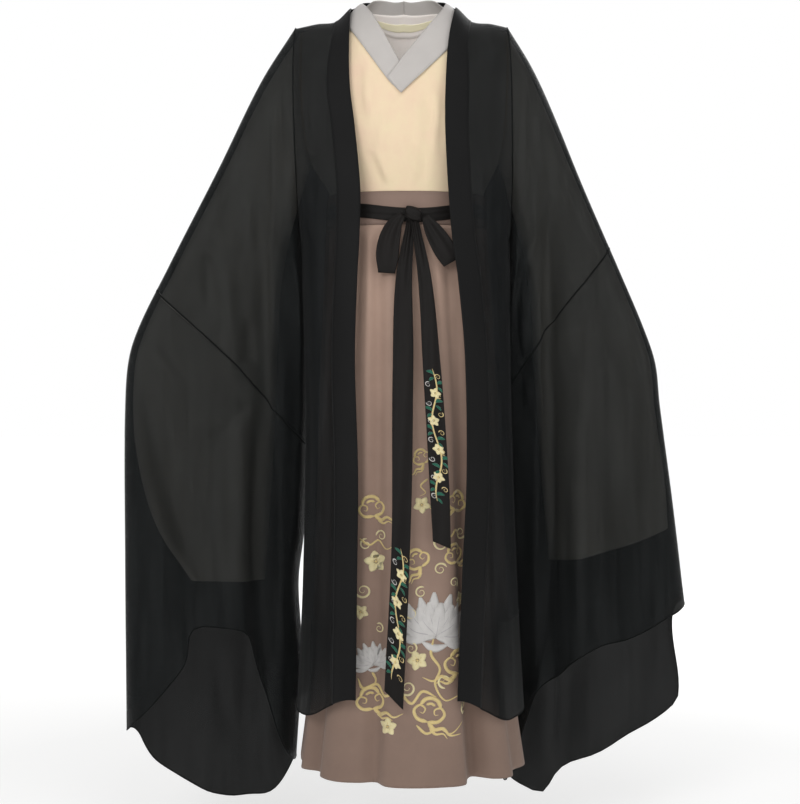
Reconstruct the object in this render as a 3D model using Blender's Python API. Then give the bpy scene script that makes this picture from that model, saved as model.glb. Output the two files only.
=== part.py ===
"""A hanfu set filled out as it is worn: an open robe with hanging sleeves, a cross-collar top,
a skirt with a waistband, and a ribbon belt tied in a bow. Metres, +Z up, the front towards -Y.
The origin is the middle of the neck, level with the shoulders. The wearer's right is at -X."""

import math
from collections import namedtuple

import bmesh
import bpy
from mathutils import Vector

for old in list(bpy.data.objects):
    bpy.data.objects.remove(old, do_unlink=True)

# Cloth and seams
CLOTH = 0.0015
BAND_CLOTH = 0.0018
RIBBON_CLOTH = 0.0014
SEAM = 0.0003

# Body of the robe and of the top
CHEST = -0.165
SQUARENESS = 2.4
ROBE_ARMPIT = -0.42
ROBE_ARM_DEPTH = 0.084
ROBE_HEM = -1.225
ROBE_SIDE_DROP = 0.045
TOP_ARMPIT = -0.275
TOP_ARM_DEPTH = 0.068
TOP_HEM = -0.46

# Bands, collar, waistband and belt: at the back neck a strip rises from its seam and leans in
ROBE_BAND_WIDTH = 0.040
ROBE_BAND_AT_NECK = 0.027
ROBE_BAND_LEAN = 0.010
ROBE_BAND_RISE = 0.030
ROBE_BAND_RISE_AT_SHOULDER = 0.025
COLLAR_WIDTH_AT_SHOULDER = 0.037
COLLAR_LEAN = 0.012
COLLAR_RISE = 0.027
ROBE_NECK_ANGLE = math.radians(37)
NECK_HALF = 0.118
COLLAR_SEAM = 0.010
TOP_NECK_ANGLE = math.radians(34)
BACK_NECK_DROP = math.radians(6)
KNOT_ANGLE = 86
WAIST_TOP = -0.341
WAIST_LOW = -0.401
SKIRT_HEM = -1.372
BELT_WIDTH = 0.025
BELT_Z = -0.372
BELT_DIP = 0.012

# Sleeves
SLEEVE_JOIN = 0.40
JOIN_GAP = 0.0016
ARMHOLE_GAP = 0.0014
FOLD_LIP = 0.0020

# How finely the walls are divided
ARMHOLE_STEPS = 12
TOP_ARMHOLE_STEPS = 9
SKIRT_FRONT_STEPS = 38
SKIRT_BACK_STEPS = 28
WAIST_STEPS = 40

Ring = namedtuple("Ring", "level half_width front back middle")
ROBE_RINGS = (
    Ring(-1.300, 0.212, 0.217, 0.208, 0.012),
    Ring(-1.000, 0.197, 0.188, 0.172, 0.011),
    Ring(-0.700, 0.190, 0.163, 0.145, 0.008),
    Ring(-0.420, 0.192, 0.143, 0.125, 0.002),
    Ring(-0.300, 0.194, 0.132, 0.118, 0.000),
    Ring(-0.165, 0.195, 0.122, 0.115, -0.003),
    Ring(0.000, 0.194, 0.122, 0.115, -0.005),
)
TOP_RINGS = (
    Ring(-0.460, 0.1425, 0.0990, 0.0900, 0.005),
    Ring(-0.335, 0.1425, 0.0976, 0.0891, 0.005),
    Ring(-0.275, 0.172, 0.108, 0.097, 0.001),
    Ring(-0.165, 0.184, 0.112, 0.100, 0.000),
    Ring(0.000, 0.187, 0.112, 0.100, 0.000),
)
SKIRT_RINGS = (
    Ring(-1.390, 0.206, 0.180, 0.180, 0.013),
    Ring(-1.250, 0.188, 0.166, 0.165, 0.012),
    Ring(-1.100, 0.178, 0.152, 0.150, 0.011),
    Ring(-0.800, 0.167, 0.128, 0.120, 0.009),
    Ring(-0.500, 0.154, 0.108, 0.100, 0.006),
    Ring(-0.401, 0.1485, 0.1030, 0.0945, 0.005),
    Ring(-0.341, 0.1455, 0.1004, 0.0919, 0.005),
)

# Height of the line over the shoulder, across from the neck's middle
Shoulder = namedtuple("Shoulder", "across z")
ROBE_SHOULDER = (
    Shoulder(0.000, 0.040), Shoulder(0.050, 0.034), Shoulder(0.095, 0.010), Shoulder(0.122, -0.015),
    Shoulder(0.160, -0.020), Shoulder(0.196, -0.027),
)
TOP_SHOULDER = (
    Shoulder(0.000, 0.045), Shoulder(0.050, 0.031), Shoulder(0.083, 0.0125), Shoulder(0.102, -0.007),
    Shoulder(0.120, -0.0198), Shoulder(0.150, -0.0220), Shoulder(0.187, -0.034),
)

# Free front edges of the robe
Edge = namedtuple("Edge", "level right left")
ROBE_OPENING = (
    Edge(-1.230, -0.083, 0.090), Edge(-1.000, -0.081, 0.100), Edge(-0.840, -0.080, 0.108),
    Edge(-0.640, -0.086, 0.106), Edge(-0.500, -0.082, 0.094), Edge(-0.420, -0.078, 0.083),
    Edge(-0.340, -0.077, 0.077), Edge(-0.230, -0.087, 0.072), Edge(-0.155, -0.096, 0.073),
    Edge(-0.080, -0.098, 0.079), Edge(0.000, -0.097, 0.095),
)

# Folds of the skirt round its hem, by angle from the wearer's left side towards the front
Wave = namedtuple("Wave", "angle out")
SKIRT_WAVES = (
    Wave(0, 0.000), Wave(14, 0.006), Wave(28, -0.004), Wave(40, 0.016), Wave(50, 0.006), Wave(58, -0.026),
    Wave(64, -0.014), Wave(69, 0.018), Wave(80, 0.026), Wave(92, 0.028), Wave(99, 0.020), Wave(104, -0.004),
    Wave(112, 0.006), Wave(124, 0.014), Wave(136, 0.006), Wave(146, -0.014), Wave(158, 0.004),
    Wave(170, -0.004), Wave(180, 0.000), Wave(196, 0.006), Wave(210, -0.012), Wave(226, 0.018),
    Wave(242, -0.010), Wave(256, 0.012), Wave(270, -0.006), Wave(286, 0.018), Wave(304, -0.014), Wave(320, 0.014),
    Wave(336, -0.012), Wave(348, 0.003), Wave(360, 0.000),
)

# Hanging folds: where the line of each lies across, its ends, its half width, and how far it stands out
Fold = namedtuple("Fold", "x top bottom half_width out")
ROBE_FRONT_FOLDS = (
    Fold(-0.135, -0.30, -1.60, 0.014, -0.006), Fold(-0.160, -0.25, -1.60, 0.015, 0.008),
    Fold(0.148, -0.30, -1.60, 0.014, -0.006), Fold(0.176, -0.25, -1.60, 0.015, 0.008),
)
ROBE_BACK_FOLDS = (
    Fold(-0.150, -0.30, -1.60, 0.020, 0.010), Fold(-0.100, -0.45, -1.60, 0.022, -0.010),
    Fold(-0.045, -0.35, -1.60, 0.024, 0.012), Fold(0.010, -0.50, -1.60, 0.022, -0.010),
    Fold(0.065, -0.40, -1.60, 0.024, 0.012), Fold(0.120, -0.50, -1.60, 0.020, -0.009),
    Fold(0.165, -0.35, -1.60, 0.020, 0.009),
)
SLEEVE_FOLDS = {
    "r": (
        Fold(-0.256, -0.30, -1.60, 0.020, -0.014), Fold(-0.226, -0.45, -1.60, 0.014, 0.008),
        Fold(-0.300, -0.60, -1.60, 0.022, 0.010), Fold(-0.375, -0.85, -1.60, 0.026, -0.010),
        Fold(-0.440, -0.80, -1.60, 0.026, 0.008),
    ),
    "l": (
        Fold(0.272, -0.28, -1.60, 0.020, -0.014), Fold(0.246, -0.45, -1.60, 0.014, 0.008),
        Fold(0.318, -0.60, -1.60, 0.022, 0.010), Fold(0.372, -0.75, -1.60, 0.024, -0.010),
        Fold(0.440, -0.70, -1.60, 0.026, 0.008),
    ),
}

# Lines of the sleeves: the fold along the arm, the seam below it, and the edges of the open cuff.
# A lag above 1 keeps the low seam's near end nearer to the body.
ROBE_SLEEVE_LINES = {
    "r": {
        "lag": 1.0,
        "top": ((-0.200, 0, -0.026), (-0.261, 0, -0.123), (-0.337, 0, -0.279), (-0.431, 0, -0.463),
                (-0.498, 0, -0.605), (-0.512, 0, -0.700), (-0.513, 0, -1.008), (-0.510, 0, -1.320)),
        "low": ((-0.203, 0, -0.420), (-0.1950, 0.03, -0.500), (-0.1860, 0.06, -0.560), (-0.183, 0.08, -0.640),
                (-0.183, 0.10, -0.800),
                (-0.190, 0.095, -0.960), (-0.2005, 0.09, -1.060), (-0.193, 0.075, -1.200),
                (-0.202, 0.05, -1.385)),
        "front": ((-0.510, 0, -1.320), (-0.442, 0, -1.251), (-0.398, 0, -1.190), (-0.385, 0, -1.133),
                  (-0.335, 0, -1.128), (-0.283, 0, -1.140), (-0.256, 0, -1.240), (-0.232, 0, -1.315),
                  (-0.202, 0.05, -1.385)),
        "back": ((-0.510, 0, -1.320), (-0.469, 0, -1.397), (-0.379, 0, -1.453), (-0.313, 0, -1.470),
                 (-0.245, 0, -1.453), (-0.202, 0.05, -1.385)),
    },
    "l": {
        "lag": 1.4,
        "top": ((0.189, 0, -0.028), (0.233, 0, -0.100), (0.270, 0, -0.178), (0.327, 0, -0.316),
                (0.397, 0, -0.477), (0.441, 0, -0.581), (0.462, 0, -0.645), (0.470, 0, -0.720),
                (0.493, 0, -0.895), (0.515, 0, -1.083)),
        "low": ((0.203, 0, -0.420), (0.1985, 0.03, -0.500), (0.1920, 0.06, -0.560), (0.190, 0.08, -0.640),
                (0.194, 0.10, -0.800),
                (0.204, 0.11, -1.050), (0.214, 0.12, -1.250), (0.192, 0.15, -1.450)),
        "front": ((0.515, 0, -1.083), (0.411, 0, -1.149), (0.358, 0, -1.169), (0.314, 0, -1.193),
                  (0.284, 0, -1.228), (0.246, 0, -1.256), (0.232, 0, -1.300), (0.192, 0.15, -1.450)),
        "back": ((0.515, 0, -1.083), (0.508, 0, -1.130), (0.526, 0, -1.275), (0.507, 0, -1.308),
                 (0.411, 0, -1.378), (0.303, 0, -1.438), (0.268, 0, -1.482), (0.231, 0, -1.472),
                 (0.192, 0.15, -1.450)),
    },
}
TOP_SLEEVE_LINES = {
    "r": {
        "lag": 1.0,
        "top": ((-0.187, 0, -0.034), (-0.252, 0, -0.134), (-0.328, 0, -0.287), (-0.421, 0, -0.469),
                (-0.487, 0, -0.611), (-0.499, 0, -0.700), (-0.492, 0, -0.816), (-0.458, 0, -0.940),
                (-0.392, 0, -1.045)),
        "low": ((-0.172, 0, -0.275), (-0.226, 0.036, -0.480), (-0.246, 0.078, -0.800),
                (-0.262, 0.066, -1.052)),
        "front": ((-0.392, 0, -1.045), (-0.262, 0.066, -1.052)),
        "back": ((-0.392, 0, -1.045), (-0.262, 0.066, -1.052)),
    },
    "l": {
        "lag": 1.0,
        "top": ((0.187, 0, -0.034), (0.230, 0, -0.111), (0.324, 0, -0.326), (0.394, 0, -0.486),
                (0.437, 0, -0.590), (0.455, 0, -0.650), (0.461, 0, -0.722), (0.480, 0, -0.860),
                (0.486, 0, -0.947)),
        "low": ((0.172, 0, -0.275), (0.230, 0.036, -0.480), (0.256, 0.080, -0.800), (0.275, 0.076, -1.016)),
        "front": ((0.486, 0, -0.947), (0.362, 0.045, -1.000), (0.275, 0.076, -1.016)),
        "back": ((0.486, 0, -0.947), (0.362, 0.045, -1.000), (0.275, 0.076, -1.016)),
    },
}

# How far the sleeve walls stand apart along the sleeve, and how round their two folds are
Hang = namedtuple("Hang", "along front back top_round low_round")
ROBE_HANG = (
    Hang(0.00, 0.084, 0.084, 0.060, 0.060), Hang(0.15, 0.068, 0.068, 0.055, 0.030),
    Hang(0.45, 0.062, 0.062, 0.048, 0.020), Hang(0.75, 0.054, 0.054, 0.030, 0.020),
    Hang(1.00, 0.058, 0.058, 0.026, 0.022),
)
TOP_HANG = (
    Hang(0.00, 0.068, 0.068, 0.050, 0.050), Hang(0.20, 0.042, 0.042, 0.044, 0.030),
    Hang(0.60, 0.032, 0.032, 0.036, 0.018), Hang(1.00, 0.030, 0.030, 0.024, 0.018),
)

# V of the top: seam line of the collar from the shoulder down to the point
TopV = namedtuple("TopV", "x z")
V_POINT = TopV(-0.0055, -0.170)
V_SEAM = {
    "r": (TopV(-0.118, -0.014), TopV(-0.094, -0.0525), TopV(-0.0305, -0.144), V_POINT),
    "l": (TopV(0.118, -0.014), TopV(0.106, -0.048), TopV(0.0725, -0.0945), V_POINT),
}
V_FREE = {
    "r": (TopV(-0.084, 0.018), TopV(-0.062, -0.010), TopV(-0.006, -0.116), TopV(0.018, -0.147)),
    "l": (TopV(0.080, 0.018), TopV(0.066, -0.012), TopV(-0.013, -0.119), TopV(-0.030, -0.1415)),
}

# Bow of the belt
KNOT = Vector((0.016, -0.1127, -0.383))
KNOT_SIZE = Vector((0.032, 0.0174, 0.026))
BOW_LOOPS = {
    "r": {"path": ((-0.0039, -0.1130, -0.386), (-0.018, -0.115, -0.405), (-0.028, -0.118, -0.440),
                   (-0.031, -0.121, -0.488)),
          "widths": ((0.0, 0.013), (0.3, 0.032), (0.7, 0.040), (1.0, 0.030)), "gap": 0.013},
    "l": {"path": ((0.0373, -0.1130, -0.389), (0.046, -0.115, -0.405), (0.064, -0.118, -0.435),
                   (0.084, -0.121, -0.470)),
          "widths": ((0.0, 0.013), (0.3, 0.030), (0.7, 0.038), (1.0, 0.032)), "gap": 0.011},
}
BELT_TAILS = {
    "long": {"left": ((0.004, -0.1120, -0.3951), (-0.015, -0.128, -0.500), (-0.020, -0.150, -0.640),
                      (-0.022, -0.190, -0.960), (-0.034, -0.214, -1.205)),
             "right": ((0.018, -0.1120, -0.3968), (0.014, -0.128, -0.500), (0.016, -0.150, -0.640),
                       (0.010, -0.190, -0.960), (-0.002, -0.214, -1.237))},
    "short": {"left": ((0.012, -0.1155, -0.3962), (0.024, -0.131, -0.500), (0.032, -0.150, -0.640),
                       (0.043, -0.170, -0.850), (0.049, -0.184, -0.955)),
              "right": ((0.026, -0.1155, -0.3977), (0.048, -0.131, -0.500), (0.062, -0.150, -0.640),
                        (0.077, -0.170, -0.850), (0.080, -0.184, -0.968))},
}

Body = namedtuple("Body", "rings shoulder armpit arm_depth front_folds back_folds")
ROBE = Body(ROBE_RINGS, ROBE_SHOULDER, ROBE_ARMPIT, ROBE_ARM_DEPTH, ROBE_FRONT_FOLDS, ROBE_BACK_FOLDS)
TOP = Body(TOP_RINGS, TOP_SHOULDER, TOP_ARMPIT, TOP_ARM_DEPTH, (), ())
SIGN = {"r": -1, "l": 1}


def ease(share):
    """A soft step from 0 to 1."""
    share = min(max(share, 0.0), 1.0)
    return share * share * (3 - 2 * share)


def smooth_value(rows, place):
    """A smooth value at a place, from rows of (place, value) in rising order."""
    if place <= rows[0][0]:
        return rows[0][1]
    if place >= rows[-1][0]:
        return rows[-1][1]
    index = next(i for i in range(len(rows) - 1) if place <= rows[i + 1][0])

    def slope(i):
        before, after = rows[max(i - 1, 0)], rows[min(i + 1, len(rows) - 1)]
        return (after[1] - before[1]) / (after[0] - before[0])

    span = rows[index + 1][0] - rows[index][0]
    t = (place - rows[index][0]) / span
    start, end = rows[index][1], rows[index + 1][1]
    bend = span * (slope(index) * t * (1 - t) ** 2 - slope(index + 1) * t * t * (1 - t))
    return start + (end - start) * ease(t) + bend


def read(table, column, place):
    """A column of a table, read smoothly at a place in its first column."""
    rows = sorted((row[0], getattr(row, column)) for row in table)
    return smooth_value(rows, place)


def path_point(points, share):
    """A point part of the way along a smooth line through a few points."""
    points = [Vector(point) for point in points]
    lengths = [0.0]
    for a, b in zip(points, points[1:]):
        lengths.append(lengths[-1] + (b - a).length)
    columns = [[(length, point[axis]) for length, point in zip(lengths, points)] for axis in range(3)]
    return Vector([smooth_value(rows, share * lengths[-1]) for rows in columns])


def fold_height(folds, x, z):
    """How far the hanging folds stand out at a place."""
    height = 0.0
    for fold in folds:
        started = ease((fold.top - z) / 0.25) * ease((z - fold.bottom) / 0.05)
        height += fold.out * started * math.exp(-((x - fold.x) / fold.half_width) ** 2)
    return height


def armhole_depth(body, level):
    """Half the depth of the armhole at a level, nothing below the armpit."""
    if level >= CHEST:
        return body.arm_depth
    if level <= body.armpit:
        return 0.0
    return body.arm_depth * math.sqrt(1 - ((CHEST - level) / (CHEST - body.armpit)) ** 2)


def level_at(body, x, z):
    """The level whose line passes a height above the chest at this place across."""
    if z <= CHEST:
        return z
    rise = (z - CHEST) / (read(body.shoulder, "z", abs(x)) - CHEST)
    return CHEST - CHEST * min(rise, 1.0)


def body_point(body, x, level, face, out=0.0):
    """A point of a garment's body: face is -1 in front, 1 behind. Level 0 is the shoulder line."""
    half = read(body.rings, "half_width", level)
    middle = read(body.rings, "middle", level)
    depth = read(body.rings, "front" if face < 0 else "back", level)
    side = armhole_depth(body, level)
    opened = ease((level - body.armpit) / (CHEST - body.armpit))
    share = min(abs(x - middle) / half, 1.0)
    rounded = (1 - share ** SQUARENESS) ** (1 / SQUARENESS)
    hung = math.cos(math.pi / 2 * share ** 1.5)
    reach = side + (depth - side) * (rounded * (1 - opened) + hung * opened)
    folds = body.front_folds if face < 0 else body.back_folds
    reach += fold_height(folds, x, level) * rounded
    z = level
    if level > CHEST:
        rise = (level - CHEST) / -CHEST
        z = CHEST + (read(body.shoulder, "z", abs(x)) - CHEST) * rise
        reach *= math.sqrt(max(1 - rise * rise, 0.0))
    return Vector((x, face * (reach + 1.5 * SEAM + out), z))


def side_x(body, level, sign):
    """Where the side of a garment's body lies at a level."""
    return read(body.rings, "middle", level) + sign * read(body.rings, "half_width", level)


def armhole_levels(body, steps):
    """Levels down the armhole, closer together at its two ends."""
    edge = read(body.shoulder, "z", read(body.rings, "half_width", 0.0))
    levels = []
    for step in range(steps + 1):
        share = (1 - math.cos(math.pi * step / steps)) / 2
        z = edge + (body.armpit - edge) * share
        levels.append(CHEST - CHEST * (z - CHEST) / (edge - CHEST) if z > CHEST else z)
    return levels


def fabric(name, colour, roughness):
    """A plain matt cloth material."""
    material = bpy.data.materials.new(name)
    material.use_nodes = True
    shader = material.node_tree.nodes["Principled BSDF"]
    shader.inputs["Base Color"].default_value = (*colour, 1.0)
    shader.inputs["Roughness"].default_value = roughness
    shader.inputs["Metallic"].default_value = 0.0
    return material


def cloth(name, grid, thickness, colour, closed=False, flip=False):
    """A cloth wall through rows of points on its outer face, as a tube where it is closed."""
    count = len(grid[0])
    mesh = bpy.data.meshes.new(name)
    points = [point for row in grid for point in row]
    faces = []
    for row in range(len(grid) - 1):
        for column in range(count if closed else count - 1):
            after = (column + 1) % count
            corners = [row * count + column, (row + 1) * count + column,
                       (row + 1) * count + after, row * count + after]
            faces.append(corners[::-1] if flip else corners)
    mesh.from_pydata(points, [], faces)
    mesh.shade_smooth()
    mesh.materials.append(fabric(name, *colour))
    piece = bpy.data.objects.new(name, mesh)
    bpy.context.scene.collection.objects.link(piece)
    wall = piece.modifiers.new("wall", "SOLIDIFY")
    wall.thickness = thickness
    wall.offset = -1
    return piece


BLACK = ((0.014, 0.016, 0.016), 0.8)
BLACK_BAND = ((0.011, 0.012, 0.012), 0.8)
RIBBON = ((0.012, 0.011, 0.010), 0.6)
CREAM = ((0.76, 0.64, 0.42), 0.8)
GREY = ((0.42, 0.40, 0.38), 0.7)
MAUVE = ((0.25, 0.18, 0.15), 0.8)
MAUVE_BAND = ((0.27, 0.20, 0.16), 0.8)


def robe_levels():
    """Levels of the robe's body from the shoulder line to the hem."""
    above = armhole_levels(ROBE, ARMHOLE_STEPS)
    steps = 8
    below = [ROBE_ARMPIT + (ROBE_HEM - ROBE_ARMPIT) * step / steps for step in range(1, steps + 1)]
    return above + below


def robe_point(x, level, face, out=0.0):
    """A point of the robe's body, whose hem drops a little towards its sides."""
    point = body_point(ROBE, x, level, face, out)
    lowered = ease((ROBE_ARMPIT - level) / (ROBE_ARMPIT - ROBE_HEM))
    outward = 1.0 if face > 0 else ease((abs(x) - 0.09) / 0.10)
    point.z -= ROBE_SIDE_DROP * lowered * outward
    return point


def band_x(level, side):
    """The free edge of the robe's band, and the seam where the band meets the front."""
    free = read(ROBE_OPENING, "right" if side == "r" else "left", level)
    spread = ROBE_BAND_AT_NECK + (ROBE_BAND_WIDTH - ROBE_BAND_AT_NECK) * ease(level / CHEST)
    return free, free + SIGN[side] * spread


def robe_front(side):
    """One front of the robe, from its band to its side seam and armhole."""
    sign = SIGN[side]
    steps = 7
    grid = []
    for level in robe_levels():
        seam = band_x(level, side)[1] + sign * SEAM
        edge = side_x(ROBE, level, sign)
        columns = [seam + (edge - seam) * math.sin(math.pi / 2 * step / steps) for step in range(steps + 1)]
        grid.append([robe_point(x, level, -1) for x in columns])
    cloth("robe_front_" + side, grid, CLOTH, BLACK, flip=side == "r")


def neck_curve(share):
    """How far a back neckline has dropped, from 1 in its middle to 0 at the shoulder."""
    return math.cos(math.pi / 2 * share) ** 0.8


def neck_level(x):
    """The level of the robe's back neckline at a place across."""
    reach = min(x / band_x(0.0, "r" if x < 0 else "l")[1], 1.0)
    angle = ROBE_NECK_ANGLE * neck_curve(reach)
    return CHEST - CHEST * math.cos(angle)


def robe_back():
    """The back of the robe, in one piece across both shoulders."""
    steps = 18
    grid = []
    for level in robe_levels():
        left, right = side_x(ROBE, level, -1), side_x(ROBE, level, 1)
        middle, half = (left + right) / 2, (right - left) / 2
        row = []
        for step in range(steps + 1):
            x = middle + half * math.sin(math.pi * (step / steps - 0.5))
            lowered = level
            if level > CHEST:
                share = (level - CHEST) / -CHEST
                lowered = CHEST + (neck_level(x) - CHEST) * share
            row.append(robe_point(x, lowered, 1))
        grid.append(row)
    cloth("robe_back", grid, CLOTH, BLACK, flip=True)


def robe_band(side):
    """The band from the middle of the back neck, over the shoulder and down the front edge."""
    sign = SIGN[side]
    steps = 3
    grid = []
    neck_steps = 7
    for turn in range(neck_steps):
        share = turn / neck_steps
        seam_x = sign * max(abs(band_x(0.0, side)[1]) * math.sin(math.pi / 2 * share), SEAM / 2)
        seam = robe_point(seam_x, neck_level(seam_x), 1)
        seam = seam + Vector((0, -SEAM, 4 * SEAM))
        turned = math.sin(math.pi / 2 * share)
        rise = ROBE_BAND_RISE + (ROBE_BAND_RISE_AT_SHOULDER - ROBE_BAND_RISE) * turned
        free = seam + Vector((-sign * ROBE_BAND_AT_NECK * turned, -ROBE_BAND_LEAN * (1 - turned), rise))
        free.x = sign * max(sign * free.x, SEAM / 2)
        grid.append([free.lerp(seam, step / steps) for step in range(steps + 1)])
    for level in robe_levels():
        free, seam = band_x(level, side)
        grid.append([robe_point(free + (seam - free) * step / steps, level, -1) for step in range(steps + 1)])
    cloth("robe_band_" + side, grid, BAND_CLOTH, BLACK_BAND, flip=side == "r")


def sleeve_point(body, lines, hang, side, along, down, face):
    """A point of a sleeve, part of the way along it and down from its top fold to its low seam."""
    sign = SIGN[side]
    edge_z = read(body.shoulder, "z", read(body.rings, "half_width", 0.0))
    z = edge_z + (body.armpit - edge_z) * down
    level = CHEST - CHEST * (z - CHEST) / (edge_z - CHEST) if z > CHEST else z
    hole = body_point(body, side_x(body, level, sign), level, face)
    hole_top = Vector((side_x(body, 0.0, sign), 0, edge_z))
    hole_low = Vector((side_x(body, body.armpit, sign), 0, body.armpit))
    top, low = path_point(lines["top"], along), path_point(lines["low"], along ** lines["lag"])
    cuff = lines["front" if face < 0 else "back"]
    cuff_shift = path_point(cuff, down) - Vector(cuff[0]).lerp(Vector(cuff[-1]), down)
    hole_shift = hole - hole_top.lerp(hole_low, down)
    point = top.lerp(low, down) + cuff_shift * along ** 3 + hole_shift * (1 - along) ** 2
    start = hole_top.lerp(hole_low, down) - Vector(lines["top"][0]).lerp(Vector(lines["low"][0]), down)
    point += start * (1 - ease(along / 0.2))
    width = (low - top).length
    reach = read(hang, "front" if face < 0 else "back", along)
    top_round = min(width * down / read(hang, "top_round", along), 1.0)
    low_round = min(width * (1 - down) / read(hang, "low_round", along), 1.0)
    turn = math.sqrt(1 - (1 - top_round) ** 2) * math.sqrt(1 - (1 - low_round) ** 2)
    reach = (reach + fold_height(SLEEVE_FOLDS[side], point.x, point.z)) * turn
    own_y = top.lerp(low, down).y + face * reach
    point.y = hole.y + (own_y - hole.y) * ease(along / 0.25)
    point.x += sign * ARMHOLE_GAP
    return point


def sleeve_wall(body, lines, hang, side, along, steps, face):
    """Points down one wall of a sleeve, level where it meets the other wall at its two folds."""
    shares = [(1 - math.cos(math.pi * step / steps)) / 2 for step in range(steps + 1)]
    wall = [sleeve_point(body, lines, hang, side, along, down, face) for down in shares]
    other = [sleeve_point(body, lines, hang, side, along, down, -face) for down in (0, 1)]
    top, low = (wall[0] + other[0]) / 2, (wall[-1] + other[1]) / 2
    edge, lip = Vector((0, face * SEAM, 0)), Vector((0, face * FOLD_LIP, 0))
    return [top + edge, top + lip] + wall[1:-1] + [low + lip, low + edge]


def sleeve(kind, body, lines, hang, side, start, end, rows, steps, colour):
    """A stretch of a sleeve: its front wall and its back wall, which meet at the arm's fold and below."""
    for face, place in ((-1, "front"), (1, "back")):
        grid = []
        for row in range(rows + 1):
            along = start + (end - start) * row / rows
            grid.append(sleeve_wall(body, lines, hang, side, along, steps, face))
        cloth(kind + "_" + place + "_" + side, grid, CLOTH, colour, flip=(side == "l") == (face < 0))


def robe():
    """The open robe: back, fronts, bands, and sleeves in two lengths of cloth."""
    robe_back()
    for side in ("r", "l"):
        robe_front(side)
        robe_band(side)
        lines = ROBE_SLEEVE_LINES[side]
        sleeve("robe_sleeve", ROBE, lines, ROBE_HANG, side, 0.0, SLEEVE_JOIN, 7, ARMHOLE_STEPS, BLACK)
        sleeve("robe_sleeve_end", ROBE, lines, ROBE_HANG, side, SLEEVE_JOIN + JOIN_GAP, 1.0, 9,
               ARMHOLE_STEPS, BLACK)


def v_line(points, share):
    """A point of the V's seam or of the collar's free edge, by its place across and its height."""
    point = path_point([(p.x, 0, p.z) for p in points], share)
    return point.x, point.z


def top_neck_z(x):
    """The height of the top's neckline in front at a place across."""
    side = "r" if x < V_POINT.x else "l"
    low, high = 0.0, 1.0
    for _ in range(30):
        middle = (low + high) / 2
        if abs(v_line(V_SEAM[side], middle)[0] - V_POINT.x) > abs(x - V_POINT.x):
            low = middle
        else:
            high = middle
    return v_line(V_SEAM[side], low)[1] + COLLAR_SEAM


def top_levels():
    """Levels of the top's body from the shoulder line to the hem."""
    above = armhole_levels(TOP, TOP_ARMHOLE_STEPS)
    steps = 3
    below = [TOP_ARMPIT + (TOP_HEM - TOP_ARMPIT) * step / steps for step in range(1, steps + 1)]
    return above + below


def top_body(face):
    """The front or the back of the top, cut down to its neckline."""
    steps = 14
    grid = []
    for level in top_levels():
        left, right = side_x(TOP, level, -1), side_x(TOP, level, 1)
        row = []
        for step in range(steps + 1):
            x = (left + right) / 2 + (right - left) / 2 * math.sin(math.pi * (step / steps - 0.5))
            highest = 0.0
            if abs(x) < NECK_HALF:
                if face < 0:
                    highest = level_at(TOP, x, top_neck_z(x))
                else:
                    turn = (TOP_NECK_ANGLE + BACK_NECK_DROP) * neck_curve(abs(x) / NECK_HALF)
                    highest = CHEST - CHEST * math.cos(turn)
            lowered = level
            if level > TOP_ARMPIT:
                lowered = TOP_ARMPIT + (highest - TOP_ARMPIT) * (level - TOP_ARMPIT) / -TOP_ARMPIT
            row.append(body_point(TOP, x, lowered, face))
        grid.append(row)
    cloth("top_front" if face < 0 else "top_back", grid, CLOTH, CREAM, flip=face > 0)


def top():
    """The cross-collar top: front, back and two sleeves."""
    top_body(-1)
    top_body(1)
    for side in ("r", "l"):
        collar(side)
        sleeve("top_sleeve", TOP, TOP_SLEEVE_LINES[side], TOP_HANG, side, 0.0, 1.0, 8,
               TOP_ARMHOLE_STEPS, CREAM)


def skirt_point(angle, z, out=0.0):
    """A point of the skirt by its angle from the wearer's left, through the front, and its height."""
    half = read(SKIRT_RINGS, "half_width", z)
    front, back = read(SKIRT_RINGS, "front", z), read(SKIRT_RINGS, "back", z)
    middle = read(SKIRT_RINGS, "middle", z)
    turn = math.radians(angle)
    depth = front if angle <= 180 else back
    flare = max((WAIST_LOW - z) / (WAIST_LOW - SKIRT_HEM), 0.0)
    wave = read(SKIRT_WAVES, "out", angle % 360) * flare ** 1.1
    normal = Vector((math.cos(turn) / half, -math.sin(turn) / depth, 0)).normalized()
    across = math.copysign(abs(math.cos(turn)) ** (2 / SQUARENESS), math.cos(turn))
    forward = math.copysign(abs(math.sin(turn)) ** (2 / SQUARENESS), math.sin(turn))
    return Vector((middle + half * across, -depth * forward, z)) + normal * (wave + out)


def skirt():
    """The skirt: a front and a back panel under a waistband."""
    rows = 7
    for name, start, end, steps in (("skirt_front", 0, 180, SKIRT_FRONT_STEPS),
                                    ("skirt_back", 180, 360, SKIRT_BACK_STEPS)):
        grid = []
        for row in range(rows + 1):
            z = WAIST_LOW - SEAM + (SKIRT_HEM - WAIST_LOW + SEAM) * row / rows
            ring = [skirt_point(start + (end - start) * step / steps, z) for step in range(steps + 1)]
            side = 1 if start == 0 else -1
            ring[0].y -= side * SEAM / 2
            ring[-1].y -= side * SEAM / 2
            grid.append(ring)
        cloth(name, grid, CLOTH, MAUVE, flip=True)
    grid = []
    for z in (WAIST_TOP, WAIST_LOW):
        grid.append([skirt_point(360 * step / WAIST_STEPS, z) for step in range(WAIST_STEPS)])
    cloth("skirt_waistband", grid, BAND_CLOTH, MAUVE_BAND, closed=True, flip=True)


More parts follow.
